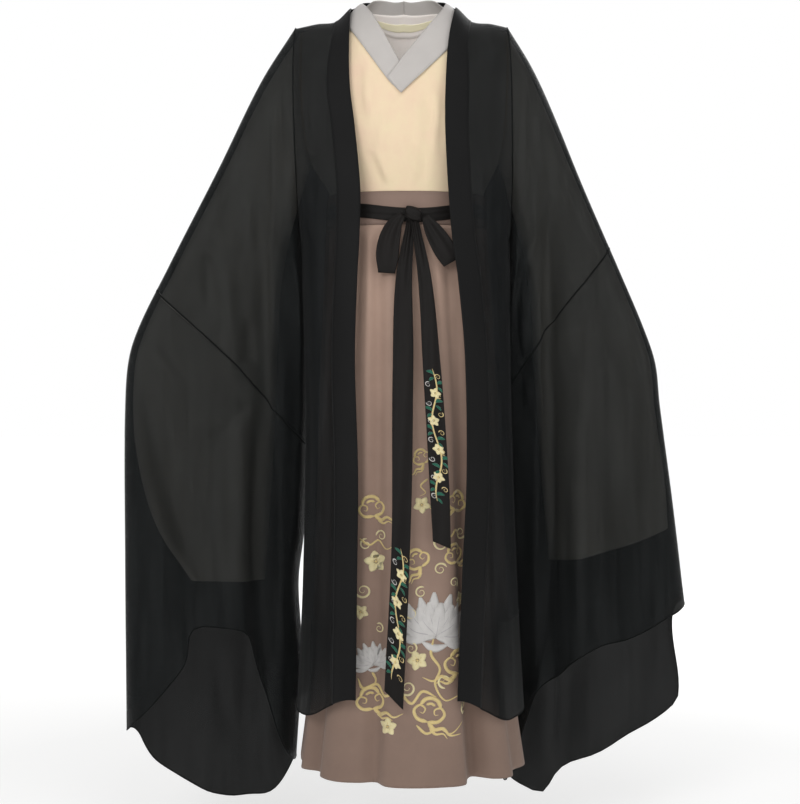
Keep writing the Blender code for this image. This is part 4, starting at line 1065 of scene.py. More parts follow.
# Creases on the front wall (-1) and the back wall (1)
SLEEVE_CREASES = {
    "r": {
        -1: (
            Crease(((-0.237, -0.140), (-0.235, -0.320), (-0.244, -0.470), (-0.240, -0.660)), 0.006, 0.0060),
            Crease(((-0.224, -0.150), (-0.215, -0.350)), 0.008, -0.0060),
            Crease(((-0.357, -0.430), (-0.355, -0.560)), 0.012, -0.0090),
            Crease(((-0.289, -0.560), (-0.285, -0.660)), 0.010, -0.0075),
            Crease(((-0.268, -0.350), (-0.270, -0.430)), 0.008, -0.0045),
            Crease(((-0.327, -0.440), (-0.320, -0.580), (-0.315, -0.710)), 0.014, 0.0090),
            Crease(((-0.466, -0.614), (-0.413, -0.677)), 0.008, 0.0060),
            Crease(((-0.490, -0.642), (-0.440, -0.830), (-0.385, -1.027)), 0.020, -0.0150),
            Crease(((-0.490, -0.790), (-0.460, -0.920), (-0.409, -1.030)), 0.014, 0.0090),
            Crease(((-0.292, -0.694), (-0.303, -0.734), (-0.368, -0.800)), 0.008, -0.0075),
            Crease(((-0.274, -0.700), (-0.274, -0.990), (-0.257, -1.286)), 0.012, -0.0120),
            Crease(((-0.244, -0.640), (-0.239, -0.870)), 0.007, 0.0060),
            Crease(((-0.359, -1.145), (-0.355, -1.227), (-0.326, -1.400)), 0.010, -0.0090),
            Crease(((-0.400, -1.150), (-0.395, -1.350)), 0.016, 0.0090),
        ),
        1: (
            Crease(((-0.240, -0.200), (-0.250, -0.450), (-0.255, -0.700)), 0.010, 0.0075),
            Crease(((-0.330, -0.400), (-0.335, -0.650), (-0.330, -0.900)), 0.013, -0.0090),
            Crease(((-0.420, -0.560), (-0.400, -0.800), (-0.385, -1.100)), 0.015, 0.0105),
            Crease(((-0.300, -0.800), (-0.300, -1.100), (-0.310, -1.400)), 0.012, 0.0105),
            Crease(((-0.359, -1.145), (-0.355, -1.227), (-0.326, -1.400)), 0.010, 0.0090),
            Crease(((-0.460, -0.900), (-0.450, -1.150), (-0.440, -1.360)), 0.014, -0.0105),
        ),
    },
    "l": {
        -1: (
            Crease(((0.235, -0.290), (0.239, -0.420), (0.224, -0.470), (0.220, -0.560),
                    (0.229, -0.660)), 0.007, 0.0075),
            Crease(((0.266, -0.320), (0.265, -0.470), (0.268, -0.580), (0.266, -0.710)), 0.009, -0.0105),
            Crease(((0.242, -0.190), (0.242, -0.250)), 0.006, 0.0045),
            Crease(((0.289, -0.280), (0.294, -0.330)), 0.008, 0.0045),
            Crease(((0.264, -0.580), (0.274, -0.730), (0.274, -1.080)), 0.010, -0.0120),
            Crease(((0.227, -0.670), (0.232, -0.730)), 0.006, 0.0045),
            Crease(((0.364, -0.775), (0.366, -1.005), (0.366, -1.170)), 0.008, -0.0060),
            Crease(((0.330, -0.600), (0.335, -0.780)), 0.015, 0.0075),
            Crease(((0.410, -0.660), (0.420, -0.950)), 0.020, -0.0075),
            Crease(((0.320, -0.800), (0.322, -1.150)), 0.012, 0.0090),
        ),
        1: (
            Crease(((0.240, -0.200), (0.250, -0.450), (0.255, -0.700)), 0.010, 0.0075),
            Crease(((0.310, -0.400), (0.320, -0.650), (0.318, -0.900)), 0.013, -0.0090),
            Crease(((0.390, -0.560), (0.400, -0.800), (0.400, -1.080)), 0.015, 0.0105),
            Crease(((0.318, -1.400), (0.320, -1.230)), 0.014, 0.0090),
            Crease(((0.415, -1.360), (0.420, -1.200)), 0.020, -0.0090),
            Crease(((0.280, -0.800), (0.280, -1.100), (0.285, -1.400)), 0.012, -0.0105),
            Crease(((0.460, -0.900), (0.470, -1.100), (0.465, -1.280)), 0.014, 0.0090),
        ),
    },
}


def sleeve_surface(body, lines, hang, side, along, down, face):
    """Points of a sleeve by their share of its length and their share down from the fold."""
    along, down = np.broadcast_arrays(along, down)
    sign = SIGN[side]
    edge_z = float(read(body.shoulder, "z", read(body.rings, "half_width", 0.0)))
    z = edge_z + (body.armpit - edge_z) * down
    level = np.where(z > CHEST, CHEST - CHEST * (z - CHEST) / (edge_z - CHEST), z)
    hole = body_surface(body, side_at(body, level, sign), level, face)
    hole_top = np.array([float(side_at(body, 0.0, sign)), 0, edge_z])
    hole_low = np.array([float(side_at(body, body.armpit, sign)), 0, body.armpit])
    top, low = line_point(lines["top"], along), line_point(lines["low"], along ** lines["lag"])
    cuff = np.array(lines["front" if face < 0 else "back"])
    across = down[..., None]
    straight_hole = hole_top + (hole_low - hole_top) * across
    cuff_shift = line_point(cuff, down) - (cuff[0] + (cuff[-1] - cuff[0]) * across)
    point = top + (low - top) * across + cuff_shift * along[..., None] ** 3
    point += (hole - straight_hole) * (1 - along[..., None]) ** 2
    starts = np.array(lines["top"][0]), np.array(lines["low"][0])
    start = straight_hole - (starts[0] + (starts[1] - starts[0]) * across)
    point += start * (1 - ease(along / HOLE_PLACE))[..., None]
    width = np.linalg.norm(low - top, axis=-1)
    top_round = np.minimum(width * down / read(hang, "top_round", along), 1.0)
    low_round = np.minimum(width * (1 - down) / read(hang, "low_round", along), 1.0)
    turn = np.sqrt(1 - (1 - top_round) ** 2) * np.sqrt(1 - (1 - low_round) ** 2)
    reach = read(hang, "front" if face < 0 else "back", along)
    reach = (reach + fold_height(SLEEVE_FOLDS[side], point[..., 0], point[..., 2])) * turn
    own_y = top[..., 1] + (low - top)[..., 1] * down + face * reach
    point[..., 1] = hole[..., 1] + (own_y - hole[..., 1]) * ease(along / HOLE_DEPTH)
    point[..., 0] += sign * ARMHOLE_GAP
    return point


def sleeve_grid(body, lines, hang, side, start, end, rows, steps, creases=None, rumple=0.0):
    """A stretch of a sleeve as rings: down the front wall and up the back wall, with its creases."""
    along = np.linspace(start, end, rows)[:, None]
    down = ((1 - np.cos(np.pi * np.linspace(0, 1, steps + 1))) / 2)[None, :]
    front = sleeve_surface(body, lines, hang, side, along, down, -1)
    back = sleeve_surface(body, lines, hang, side, along, down, 1)
    ends = (front[:, [0, -1]] + back[:, [0, -1]]) / 2
    ring = np.concatenate([ends[:, :1], front[:, 1:-1], ends[:, 1:], back[:, -2:0:-1]], axis=1)
    if creases:
        flip = side == "l"
        walls = np.concatenate([down[0], down[0][-2:0:-1]])
        fade = ease(walls / FOLD_MARGIN) * ease((1 - walls) / SEAM_MARGIN)
        is_front = (np.arange(ring.shape[1]) <= steps)[None, :]
        on_front, on_back = (crease_height(creases[face], ring[..., 0], ring[..., 2]) for face in (-1, 1))
        height = np.where(is_front, on_front, on_back) + unevenness(ring, CLOTH_PATCH, rumple)
        started = ease(np.linspace(start, end, rows) / CREASES_START)[:, None]
        ring = ring + outward(ring, True, flip) * (height * fade * started)[..., None]
    return ring


for side in ("r", "l"):
    grid = sleeve_grid(TOP, TOP_SLEEVE_LINES[side], TOP_HANG, side, 0.0, 1.0, TOP_SLEEVE_ROWS,
                       TOP_SLEEVE_STEPS, SLEEVE_CREASES[side], TOP_SLEEVE_UNEVENNESS)
    sheet("top_sleeve_" + side, grid, cream_behind,
          closed=True, flip=side == "l",
          replaces=["top_sleeve_front_" + side, "top_sleeve_back_" + side])

# The seams and the neck tape of the top
# Narrow cream seams join the sleeves at the armholes. Inside the back neck a pale facing covers
# the raw edge under the collar, and a narrow yellow tape is sewn on it.
TOP_ARMHOLE_SEAM = CordSize(0.0040, 0.0018)
TAPE_ROWS = 9
TAPE_STEPS = 61
TAPE_REACH = 0.96
TAPE_SHELL = 0.0006

# A tape's upper and lower edge, as angles round the back neck, and how far inside the cloth it lies
Tape = namedtuple("Tape", "name high low inside length material")

cream_thread = thread_finish("cream_thread", (0.74, 0.60, 0.42))
for side in ("r", "l"):
    grid = sleeve_grid(TOP, TOP_SLEEVE_LINES[side], TOP_HANG, side, 0.0, 0.1, 6, 36)
    hole = grid[0] - np.array([SIGN[side] * ARMHOLE_GAP / 2, 0, 0])
    cord("top_armhole_seam_" + side, hole, outward(grid, True, side == "l")[1], TOP_ARMHOLE_SEAM,
         cream_thread, closed=True)

yellow_tape = woven("yellow_tape", (0.90, 0.84, 0.60), (0.87, 0.80, 0.55), 0.6, 0.2, 0.0005, 0.1)
# The yellow tape glows faintly as well: painted light inside the shaded neck.
painted_glow(yellow_tape, (0.95, 0.90, 0.68), 0.10)
NECK_TAPES = (Tape("neck_facing", 31.0, 48.0, 0.0022, 0.0204, cream_lining),
              Tape("neck_tape", 38.4, 43.8, 0.0030, 0.0100, yellow_tape))
share = np.linspace(-1, 1, TAPE_STEPS)[None, :]
for tape in NECK_TAPES:
    turn = np.radians(np.linspace(tape.high, tape.low, TAPE_ROWS))[:, None] * neck_curve(np.abs(share))
    grid = body_surface(TOP, NECK_HALF * TAPE_REACH * share, CHEST - CHEST * np.cos(turn), 1, -tape.inside)
    sheet(tape.name, grid, tape.material,
          flip=True, thickness=TAPE_SHELL, replaces=())

# The top's collar
# Two straight strips of pale grey satin run from the middle of the back neck over the shoulders.
# The strip from the wearer's left laps over the right one, stitched down along its outer seam.
CLOTH = 0.0015
COLLAR_AT_SHOULDER = 0.037
COLLAR_LEAN = 0.012
COLLAR_RISE = 0.027
COLLAR_NECK_ROWS = 40
COLLAR_FRONT_ROWS = 80
COLLAR_STEPS = 14
COLLAR_PUFF = 0.0005
COLLAR_SHELL = 0.0014
COLLAR_STARTED = 0.2
LAP_FROM = 0.55
LAP_OVER = 0.2

grey = woven("grey_collar", (0.500, 0.472, 0.450), (0.455, 0.428, 0.408), 0.5, 0.2, 0.0004, 0.15)
grey_thread = thread_finish("grey_thread", (0.46, 0.43, 0.41))


def collar_grid(side):
    """Points of one collar strip, from the middle of the back neck to the crossing in front."""
    sign = SIGN[side]
    raised = CLOTH + 3 * SEAM
    across = np.linspace(0, 1, COLLAR_STEPS + 1)[None, :]
    share = np.sin(np.pi / 2 * np.linspace(0, 1, COLLAR_NECK_ROWS, endpoint=False))
    seam_x = sign * NECK_HALF * share
    seam = body_surface(TOP, seam_x, CHEST - CHEST * np.cos(TOP_NECK_ANGLE * neck_curve(share)), 1)
    seam = seam + np.array([0, CLOTH, 2 * CLOTH])
    lean = np.stack([-sign * COLLAR_AT_SHOULDER * share, -COLLAR_LEAN * (1 - share),
                     np.full_like(share, COLLAR_RISE)], axis=1)
    free = seam + lean
    free[0, 0] = 0.0
    neck = free[:, None, :] + (seam - free)[:, None, :] * across[..., None]
    share = np.linspace(0, 1, COLLAR_FRONT_ROWS + 1)
    free_x, free_z = v_line(V_FREE[side], share)
    seam_x, seam_z = v_line(V_SEAM[side], share)
    x = free_x[:, None] + (seam_x - free_x)[:, None] * across
    z = free_z[:, None] + (seam_z - free_z)[:, None] * across
    lapped = (1 + ease((share - LAP_FROM) / LAP_OVER) * (side == "l"))[:, None]
    started = ease(share / COLLAR_STARTED)[:, None]
    front = body_surface(TOP, x, level_at(TOP, x, z), -1, raised * lapped * started)
    front[..., 2] += (CLOTH + 4 * SEAM) * (1 - started)
    return np.concatenate([neck, front])


for side in ("r", "l"):
    flip = side == "r"
    grid = collar_grid(side)
    puff = COLLAR_PUFF * np.sin(np.pi * np.linspace(0, 1, COLLAR_STEPS + 1)) ** 0.5
    grid += outward(grid, False, flip) * puff[None, :, None]
    sheet("top_collar_" + side, grid, grey,
          flip=flip, thickness=COLLAR_SHELL)
    normals, column = outward(grid, False, flip), COLLAR_STEPS - 1
    stitch_row("top_collar_stitches_" + side, grid[:, column], normals[:, column], grey_thread)

# The robe
# A long open robe of thin black chiffon hangs over everything, its armholes deep and its hem
# just above the skirt's. Its fronts let the cream top show through at the shoulders.
ROBE_ARMPIT = -0.42
ROBE_ARM_DEPTH = 0.084
ROBE_HEM = -1.225
ROBE_SIDE_DROP = 0.045
DROP_FROM = 0.09
DROP_OVER = 0.10
ROBE_NECK_ANGLE = math.radians(37)
ROBE_BAND_WIDTH = 0.040
ROBE_BAND_AT_NECK = 0.027
ROBE_BAND_LEAN = 0.010
ROBE_BAND_RISE = 0.030
ROBE_BAND_RISE_AT_SHOULDER = 0.025
ROBE_ARMHOLE_ROWS = 90
ROBE_ROWS_BELOW = 130
ROBE_BACK_COLUMNS = 110
ROBE_FRONT_COLUMNS = 50
ROBE_BACK_SIDE_FADE = 0.35
ROBE_FRONT_SIDE_FADE = 0.45
ROBE_BACK_UNEVENNESS = 0.0015
ROBE_FRONT_UNEVENNESS = 0.0012
ROBE_SEAM_ROWS = 60
SHOULDER_SEAM_STEPS = 40

# Creases fade over the first rows below the shoulder, and over these shares at a front's two edges
BACK_FADE_ROWS = 10
FRONT_FADE_ROWS = 8
BAND_MARGIN = 0.15
SIDE_MARGIN = 0.04

ROBE_SEAM = CordSize(0.0030, 0.0012)
ROLLED_HEM = CordSize(0.0024, 0.0020)

ROBE_RINGS = (
    Ring(-1.300, 0.212, 0.217, 0.208, 0.012),
    Ring(-1.000, 0.197, 0.188, 0.172, 0.011),
    Ring(-0.700, 0.190, 0.163, 0.145, 0.008),
    Ring(-0.420, 0.192, 0.143, 0.125, 0.002),
    Ring(-0.300, 0.194, 0.132, 0.118, 0.000),
    Ring(-0.165, 0.195, 0.122, 0.115, -0.003),
    Ring(0.000, 0.194, 0.122, 0.115, -0.005),
)
ROBE_SHOULDER = (
    Shoulder(0.000, 0.040), Shoulder(0.050, 0.034), Shoulder(0.095, 0.010), Shoulder(0.122, -0.015),
    Shoulder(0.160, -0.020), Shoulder(0.196, -0.027),
)
Edge = namedtuple("Edge", "level right left")
ROBE_OPENING = (
    Edge(-1.230, -0.083, 0.090), Edge(-1.000, -0.081, 0.100), Edge(-0.840, -0.080, 0.108),
    Edge(-0.640, -0.086, 0.106), Edge(-0.500, -0.082, 0.094), Edge(-0.420, -0.078, 0.083),
    Edge(-0.340, -0.077, 0.077), Edge(-0.230, -0.087, 0.072), Edge(-0.155, -0.096, 0.073),
    Edge(-0.080, -0.098, 0.079), Edge(0.000, -0.097, 0.095),
)
ROBE_FRONT_FOLDS = (
    Fold(-0.135, -0.30, -1.60, 0.014, -0.006), Fold(-0.160, -0.25, -1.60, 0.015, 0.008),
    Fold(0.148, -0.30, -1.60, 0.014, -0.006), Fold(0.176, -0.25, -1.60, 0.015, 0.008),
)
ROBE_BACK_FOLDS = (
    Fold(-0.150, -0.30, -1.60, 0.020, 0.010), Fold(-0.100, -0.45, -1.60, 0.022, -0.010),
    Fold(-0.045, -0.35, -1.60, 0.024, 0.012), Fold(0.010, -0.50, -1.60, 0.022, -0.010),
    Fold(0.065, -0.40, -1.60, 0.024, 0.012), Fold(0.120, -0.50, -1.60, 0.020, -0.009),
    Fold(0.165, -0.35, -1.60, 0.020, 0.009),
)
ROBE = Body(ROBE_RINGS, ROBE_SHOULDER, ROBE_ARMPIT, ROBE_ARM_DEPTH, ROBE_FRONT_FOLDS, ROBE_BACK_FOLDS)

# The chiffon's dye is drawn out into faint streaks down the cloth: partly uneven dye, partly painted sheen
# along its folds. The walls that lie behind others are denser, so that one and two layers come out as
# dark as on the real robe.
DYE_AND_SHEEN_STREAKS = (8.0, 8.0, 0.55)


def chiffon(name, colour, second, crumple, alpha):
    """Thin black cloth, see-through by its alpha."""
    # Its streaked colour is partly uneven dye and partly painted sheen along the folds.
    return woven(name, colour, second, 0.60, 0.035, 0.0005, crumple, alpha, 0.15, DYE_AND_SHEEN_STREAKS)


sheer = chiffon("black_chiffon", (0.0105, 0.0122, 0.0124), (0.0022, 0.0034, 0.0036), 0.3, 0.59)
doubled = chiffon("black_chiffon_front", (0.0100, 0.0112, 0.0118), (0.0020, 0.0030, 0.0034), 0.3, 0.67)
dense = chiffon("black_chiffon_back", (0.0086, 0.0093, 0.0092), (0.0028, 0.0034, 0.0034), 0.15, 0.90)
black_thread = thread_finish("black_thread", (0.005, 0.0055, 0.0055), 0.7, 0.02, 0.1)

ROBE_CREASES = {
    -1: (
        Crease(((-0.165, -0.050), (-0.142, -0.115)), 0.006, 0.0030),
        Crease(((-0.190, -0.135), (-0.183, -0.180)), 0.006, 0.0025),
        Crease(((-0.172, -0.165), (-0.155, -0.280)), 0.006, 0.0030),
        Crease(((-0.180, -0.230), (-0.168, -0.360)), 0.007, -0.0025),
        Crease(((-0.128, -0.330), (-0.131, -0.450)), 0.006, 0.0030),
        Crease(((-0.152, -0.600), (-0.150, -1.080)), 0.007, 0.0040),
        Crease(((-0.135, -0.550), (-0.133, -1.100)), 0.006, -0.0030),
        Crease(((-0.170, -0.600), (-0.172, -1.150)), 0.006, -0.0030),
        Crease(((-0.140, -0.900), (-0.143, -1.250)), 0.009, 0.0040),
        Crease(((0.120, -0.185), (0.121, -0.230)), 0.005, 0.0025),
        Crease(((0.178, -0.120), (0.177, -0.205)), 0.006, 0.0030),
        Crease(((0.207, -0.080), (0.207, -0.135)), 0.006, 0.0025),
        Crease(((0.117, -0.265), (0.117, -0.300)), 0.005, -0.0020),
        Crease(((0.120, -0.340), (0.120, -0.470)), 0.006, -0.0030),
        Crease(((0.150, -0.060), (0.138, -0.130)), 0.006, 0.0025),
        Crease(((0.133, -0.960), (0.133, -1.200)), 0.007, -0.0035),
        Crease(((0.160, -0.700), (0.163, -1.200)), 0.007, -0.0035),
        Crease(((0.146, -0.620), (0.148, -1.100)), 0.006, 0.0035),
        Crease(((0.185, -0.960), (0.186, -1.260)), 0.009, 0.0040),
    ),
    1: (
        Crease(((-0.120, -0.030), (-0.150, -0.140), (-0.168, -0.280)), 0.009, 0.0035),
        Crease(((-0.090, -0.060), (-0.105, -0.200), (-0.110, -0.400)), 0.010, -0.0030),
        Crease(((-0.020, -0.080), (-0.025, -0.240), (-0.030, -0.480)), 0.010, 0.0035),
        Crease(((0.045, -0.070), (0.055, -0.220), (0.050, -0.450)), 0.009, -0.0030),
        Crease(((0.110, -0.035), (0.140, -0.150), (0.160, -0.300)), 0.009, 0.0035),
        Crease(((0.085, -0.350), (0.090, -0.700), (0.088, -1.100)), 0.009, 0.0040),
        Crease(((-0.070, -0.500), (-0.075, -0.850), (-0.072, -1.200)), 0.009, 0.0040),
        Crease(((0.020, -0.600), (0.030, -0.900), (0.028, -1.200)), 0.009, -0.0040),
        Crease(((-0.130, -0.500), (-0.128, -0.900)), 0.009, -0.0040),
        Crease(((0.145, -0.600), (0.148, -1.100)), 0.009, -0.0040),
    ),
}


def robe_surface(x, level, face, out=0.0):
    """Points of the robe's body, whose hem drops a little towards its sides."""
    points = body_surface(ROBE, x, level, face, out)
    lowered = ease((ROBE_ARMPIT - level) / (ROBE_ARMPIT - ROBE_HEM))
    spread = 1.0 if face > 0 else ease((np.abs(x) - DROP_FROM) / DROP_OVER)
    points[..., 2] -= ROBE_SIDE_DROP * lowered * spread
    return points


def band_x(level, side):
    """The free edge of the robe's band, and the seam where the band meets the front."""
    free = read(ROBE_OPENING, "right" if side == "r" else "left", level)
    return free, free + SIGN[side] * (ROBE_BAND_AT_NECK + (ROBE_BAND_WIDTH - ROBE_BAND_AT_NECK)
                                      * ease(level / CHEST))


def robe_neck_level(x):
    """The level of the robe's back neckline at some places across."""
    ends = np.where(x < 0, band_x(0.0, "r")[1], band_x(0.0, "l")[1])
    return CHEST - CHEST * np.cos(ROBE_NECK_ANGLE * neck_curve(x / ends))


def creased(grid, creases, flip, rumple, edge):
    """A grid with its listed creases and a slight unevenness, held flat where edge is 0."""
    height = crease_height(creases, grid[..., 0], grid[..., 2]) + unevenness(grid, CLOTH_PATCH, rumple)
    return grid + outward(grid, False, flip) * (height * edge)[..., None]


below = np.linspace(ROBE_ARMPIT, ROBE_HEM, ROBE_ROWS_BELOW + 1)[1:]
level = np.concatenate([armhole_levels(ROBE, ROBE_ARMHOLE_ROWS), below])[:, None]
right, left = side_at(ROBE, level, -1), side_at(ROBE, level, 1)
share = np.linspace(0, 1, ROBE_BACK_COLUMNS)[None, :]
x = (right + left) / 2 + (left - right) / 2 * np.sin(np.pi * (share - 0.5))
neck = CHEST + (robe_neck_level(x) - CHEST) * (level - CHEST) / -CHEST
inner = ease((1 - np.abs(np.linspace(-1, 1, ROBE_BACK_COLUMNS))) / ROBE_BACK_SIDE_FADE)[None, :]
grid = softened(robe_surface(x, np.where(level > CHEST, neck, level), 1), ROBE_ARMPIT, inner)
edge = ease(np.arange(len(grid)) / BACK_FADE_ROWS)[:, None] * np.sin(np.pi * share) ** 0.5
grid = creased(grid, ROBE_CREASES[1], True, ROBE_BACK_UNEVENNESS, edge)
sheet("robe_back", grid, dense, flip=True)
hems = {"robe_back": (grid[-1], outward(grid, False, True)[-1])}

# Below and outside of these the fronts have no skirt behind them, and take the denser finish
NEAR_HEM = -1.10
SKIRT_SIDE = 0.165

for side in ("r", "l"):
    sign, flip = SIGN[side], side == "r"
    seam = band_x(level, side)[1] + sign * SEAM
    share = np.sin(np.pi / 2 * np.linspace(0, 1, ROBE_FRONT_COLUMNS))[None, :]
    x = seam + (side_at(ROBE, level, sign) - seam) * share
    grid = softened(robe_surface(x, level + 0 * share, -1), ROBE_ARMPIT,
                    ease((1 - share) / ROBE_FRONT_SIDE_FADE))
    edge = ease(np.arange(len(grid)) / FRONT_FADE_ROWS)[:, None]
    edge = edge * ease(share / BAND_MARGIN) * ease((1 - share) / SIDE_MARGIN)
    grid = creased(grid, ROBE_CREASES[-1], flip, ROBE_FRONT_UNEVENNESS, edge)
    front = sheet("robe_front_" + side, grid, doubled,
                  flip=flip)
    front.data.materials.append(dense)
    for polygon in front.data.polygons:
        polygon.material_index = int(polygon.center.z < NEAR_HEM and abs(polygon.center.x) > SKIRT_SIDE)
    hems["robe_front_" + side] = (grid[-1], outward(grid, False, flip)[-1])

for side in ("r", "l"):
    sign = SIGN[side]
    down = np.linspace(ROBE_ARMPIT, ROBE_HEM, ROBE_SEAM_ROWS + 1)
    across = side_at(ROBE, down, sign)
    line = (robe_surface(across, down, -1) + robe_surface(across, down, 1)) / 2
    cord("robe_side_seam_" + side, line, (float(sign), 0.0, 0.0), ROBE_SEAM, black_thread)
    across = np.linspace(band_x(0.0, side)[1], side_at(ROBE, 0.0, sign), SHOULDER_SEAM_STEPS)
    line = (robe_surface(across, 0 * across, -1) + robe_surface(across, 0 * across, 1)) / 2
    cord("robe_shoulder_" + side, line, (0.0, 0.0, 1.0), ROBE_SEAM, black_thread)

for name, (line, normal) in hems.items():
    cord(name + "_hem", line, normal, ROLLED_HEM, black_thread)

# The robe's bands
# A firm band of the same black cloth, doubled, runs round the back neck and down both front
# edges to the hem, with a row of stitches near its seam and another near its free edge.
BAND_LAP = 0.0018
BAND_LAP_ROWS = 6
BAND_GROWTH_ROWS = 46
ROBE_BAND_STEPS = 12
ROBE_BAND_NECK_ROWS = 40
ROBE_BAND_PUFF = 0.0007
ROBE_BAND_PATCH = 0.05
ROBE_BAND_UNEVENNESS = 0.0003
ROBE_BAND_SHELL = 0.0016
ROBE_STITCH_STEP = 0.006

band_black = woven("black_band", (0.0062, 0.0062, 0.0063), (0.0050, 0.0050, 0.0051), 0.60, 0.03, 0.0006,
                   0.15, specular=0.13)

for side in ("r", "l"):
    sign, flip = SIGN[side], side == "r"
    across = np.linspace(0, 1, ROBE_BAND_STEPS + 1)[None, :]
    turned = np.sin(np.pi / 2 * np.linspace(0, 1, ROBE_BAND_NECK_ROWS, endpoint=False))
    seam_x = sign * np.abs(band_x(0.0, side)[1]) * turned
    seam = robe_surface(seam_x, robe_neck_level(seam_x), 1) + np.array([0, -SEAM, 4 * SEAM])
    rise = ROBE_BAND_RISE + (ROBE_BAND_RISE_AT_SHOULDER - ROBE_BAND_RISE) * turned
    free = seam + np.stack([-sign * ROBE_BAND_AT_NECK * turned, -ROBE_BAND_LEAN * (1 - turned), rise],
                           axis=1)
    neck = free[:, None, :] + (seam - free)[:, None, :] * across[..., None]
    free, seam = band_x(level, side)
    lapped = seam + sign * BAND_LAP * ease(np.arange(len(level)) / BAND_LAP_ROWS)[:, None]
    front = robe_surface(free + (lapped - free) * across, level + 0 * across, -1)
    grid = np.concatenate([neck, softened(front, ROBE_ARMPIT, 1.0)])
    puff = ROBE_BAND_PUFF * np.sin(np.pi * across) ** 0.5
    puff = puff + ROBE_BAND_PUFF * ease(np.arange(len(grid)) / BAND_GROWTH_ROWS)[:, None]
    height = puff + unevenness(grid, ROBE_BAND_PATCH, ROBE_BAND_UNEVENNESS)
    grid += outward(grid, False, flip) * height[..., None]
    sheet("robe_band_" + side, grid, band_black,
          flip=flip, thickness=ROBE_BAND_SHELL)
    normals = outward(grid, False, flip)
    for column, place in ((1, "edge"), (ROBE_BAND_STEPS - 1, "seam")):
        stitch_row("robe_band_stitches_" + place + "_" + side, grid[:, column], normals[:, column],
                   black_thread, ROBE_STITCH_STEP)

# The robe's sleeves
# The sleeves are two lengths of chiffon joined at a narrow seam below the elbow. They hang nearly
# to the hem, and their great open cuffs show the back wall's inside below the front edge.
SLEEVE_JOIN = 0.40
JOIN_GAP = 0.0016
ROBE_HANG = (
    Hang(0.00, 0.084, 0.084, 0.060, 0.060), Hang(0.15, 0.068, 0.068, 0.055, 0.030),
    Hang(0.45, 0.062, 0.062, 0.048, 0.020), Hang(0.75, 0.054, 0.054, 0.030, 0.020),
    Hang(1.00, 0.058, 0.058, 0.026, 0.022),
)
ROBE_SLEEVE_LINES = {
    "r": {
        "lag": 1.0,
        "top": ((-0.200, 0, -0.026), (-0.261, 0, -0.123), (-0.337, 0, -0.279), (-0.431, 0, -0.463),
                (-0.498, 0, -0.605), (-0.512, 0, -0.700), (-0.513, 0, -1.008), (-0.510, 0, -1.320)),
        "low": ((-0.203, 0, -0.420), (-0.1925, 0.03, -0.500), (-0.1835, 0.06, -0.560),
                (-0.181, 0.08, -0.640), (-0.183, 0.10, -0.800), (-0.190, 0.095, -0.960),
                (-0.2005, 0.09, -1.060), (-0.193, 0.075, -1.200), (-0.202, 0.05, -1.385)),
        "front": ((-0.510, 0, -1.320), (-0.442, 0, -1.251), (-0.398, 0, -1.190), (-0.385, 0, -1.133),
                  (-0.335, 0, -1.128), (-0.283, 0, -1.140), (-0.256, 0, -1.240), (-0.232, 0, -1.315),
                  (-0.202, 0.05, -1.385)),
        "back": ((-0.510, 0, -1.320), (-0.469, 0, -1.397), (-0.379, 0, -1.453), (-0.313, 0, -1.470),
                 (-0.245, 0, -1.453), (-0.202, 0.05, -1.385)),
    },
    "l": {
        "lag": 1.4,
        "top": ((0.189, 0, -0.028), (0.233, 0, -0.100), (0.270, 0, -0.178), (0.327, 0, -0.316),
                (0.397, 0, -0.477), (0.441, 0, -0.581), (0.462, 0, -0.645), (0.470, 0, -0.720),
                (0.493, 0, -0.895), (0.515, 0, -1.083)),
        "low": ((0.203, 0, -0.420), (0.1955, 0.03, -0.500), (0.1890, 0.06, -0.560),
                (0.188, 0.08, -0.640), (0.194, 0.10, -0.800), (0.204, 0.11, -1.050),
                (0.214, 0.12, -1.250), (0.192, 0.15, -1.450)),
        "front": ((0.515, 0, -1.083), (0.411, 0, -1.149), (0.358, 0, -1.169), (0.314, 0, -1.193),
                  (0.284, 0, -1.228), (0.246, 0, -1.256), (0.232, 0, -1.300), (0.192, 0.15, -1.450)),
        "back": ((0.515, 0, -1.083), (0.508, 0, -1.130), (0.526, 0, -1.275), (0.507, 0, -1.308),
                 (0.411, 0, -1.378), (0.303, 0, -1.438), (0.268, 0, -1.482), (0.231, 0, -1.472),
                 (0.192, 0.15, -1.450)),
    },
}
SLEEVE_STEPS = 54
SLEEVE_UNEVENNESS = 0.0025
SLEEVE_SEAM = CordSize(0.0032, 0.0010)
SLEEVE_SEAM_LIFT = 0.0001
ROBE_ARMHOLE_SEAM = CordSize(0.0026, 0.0014)

# The last rows and first steps of a sleeve end are its cuff's upper corner, in the denser finish
CORNER_ROWS = 8
CORNER_STEPS = 10

Length = namedtuple("Length", "name start end rows flat area")
SLEEVE_LENGTHS = (
    Length("robe_sleeve", 0.0, SLEEVE_JOIN, 90, (0.62, 0.77), {"r": 0.31, "l": 0.21}),
    Length("robe_sleeve_end", SLEEVE_JOIN + JOIN_GAP, 1.0, 150, (0.74, 1.06), {"r": 0.61, "l": 0.63}),
)

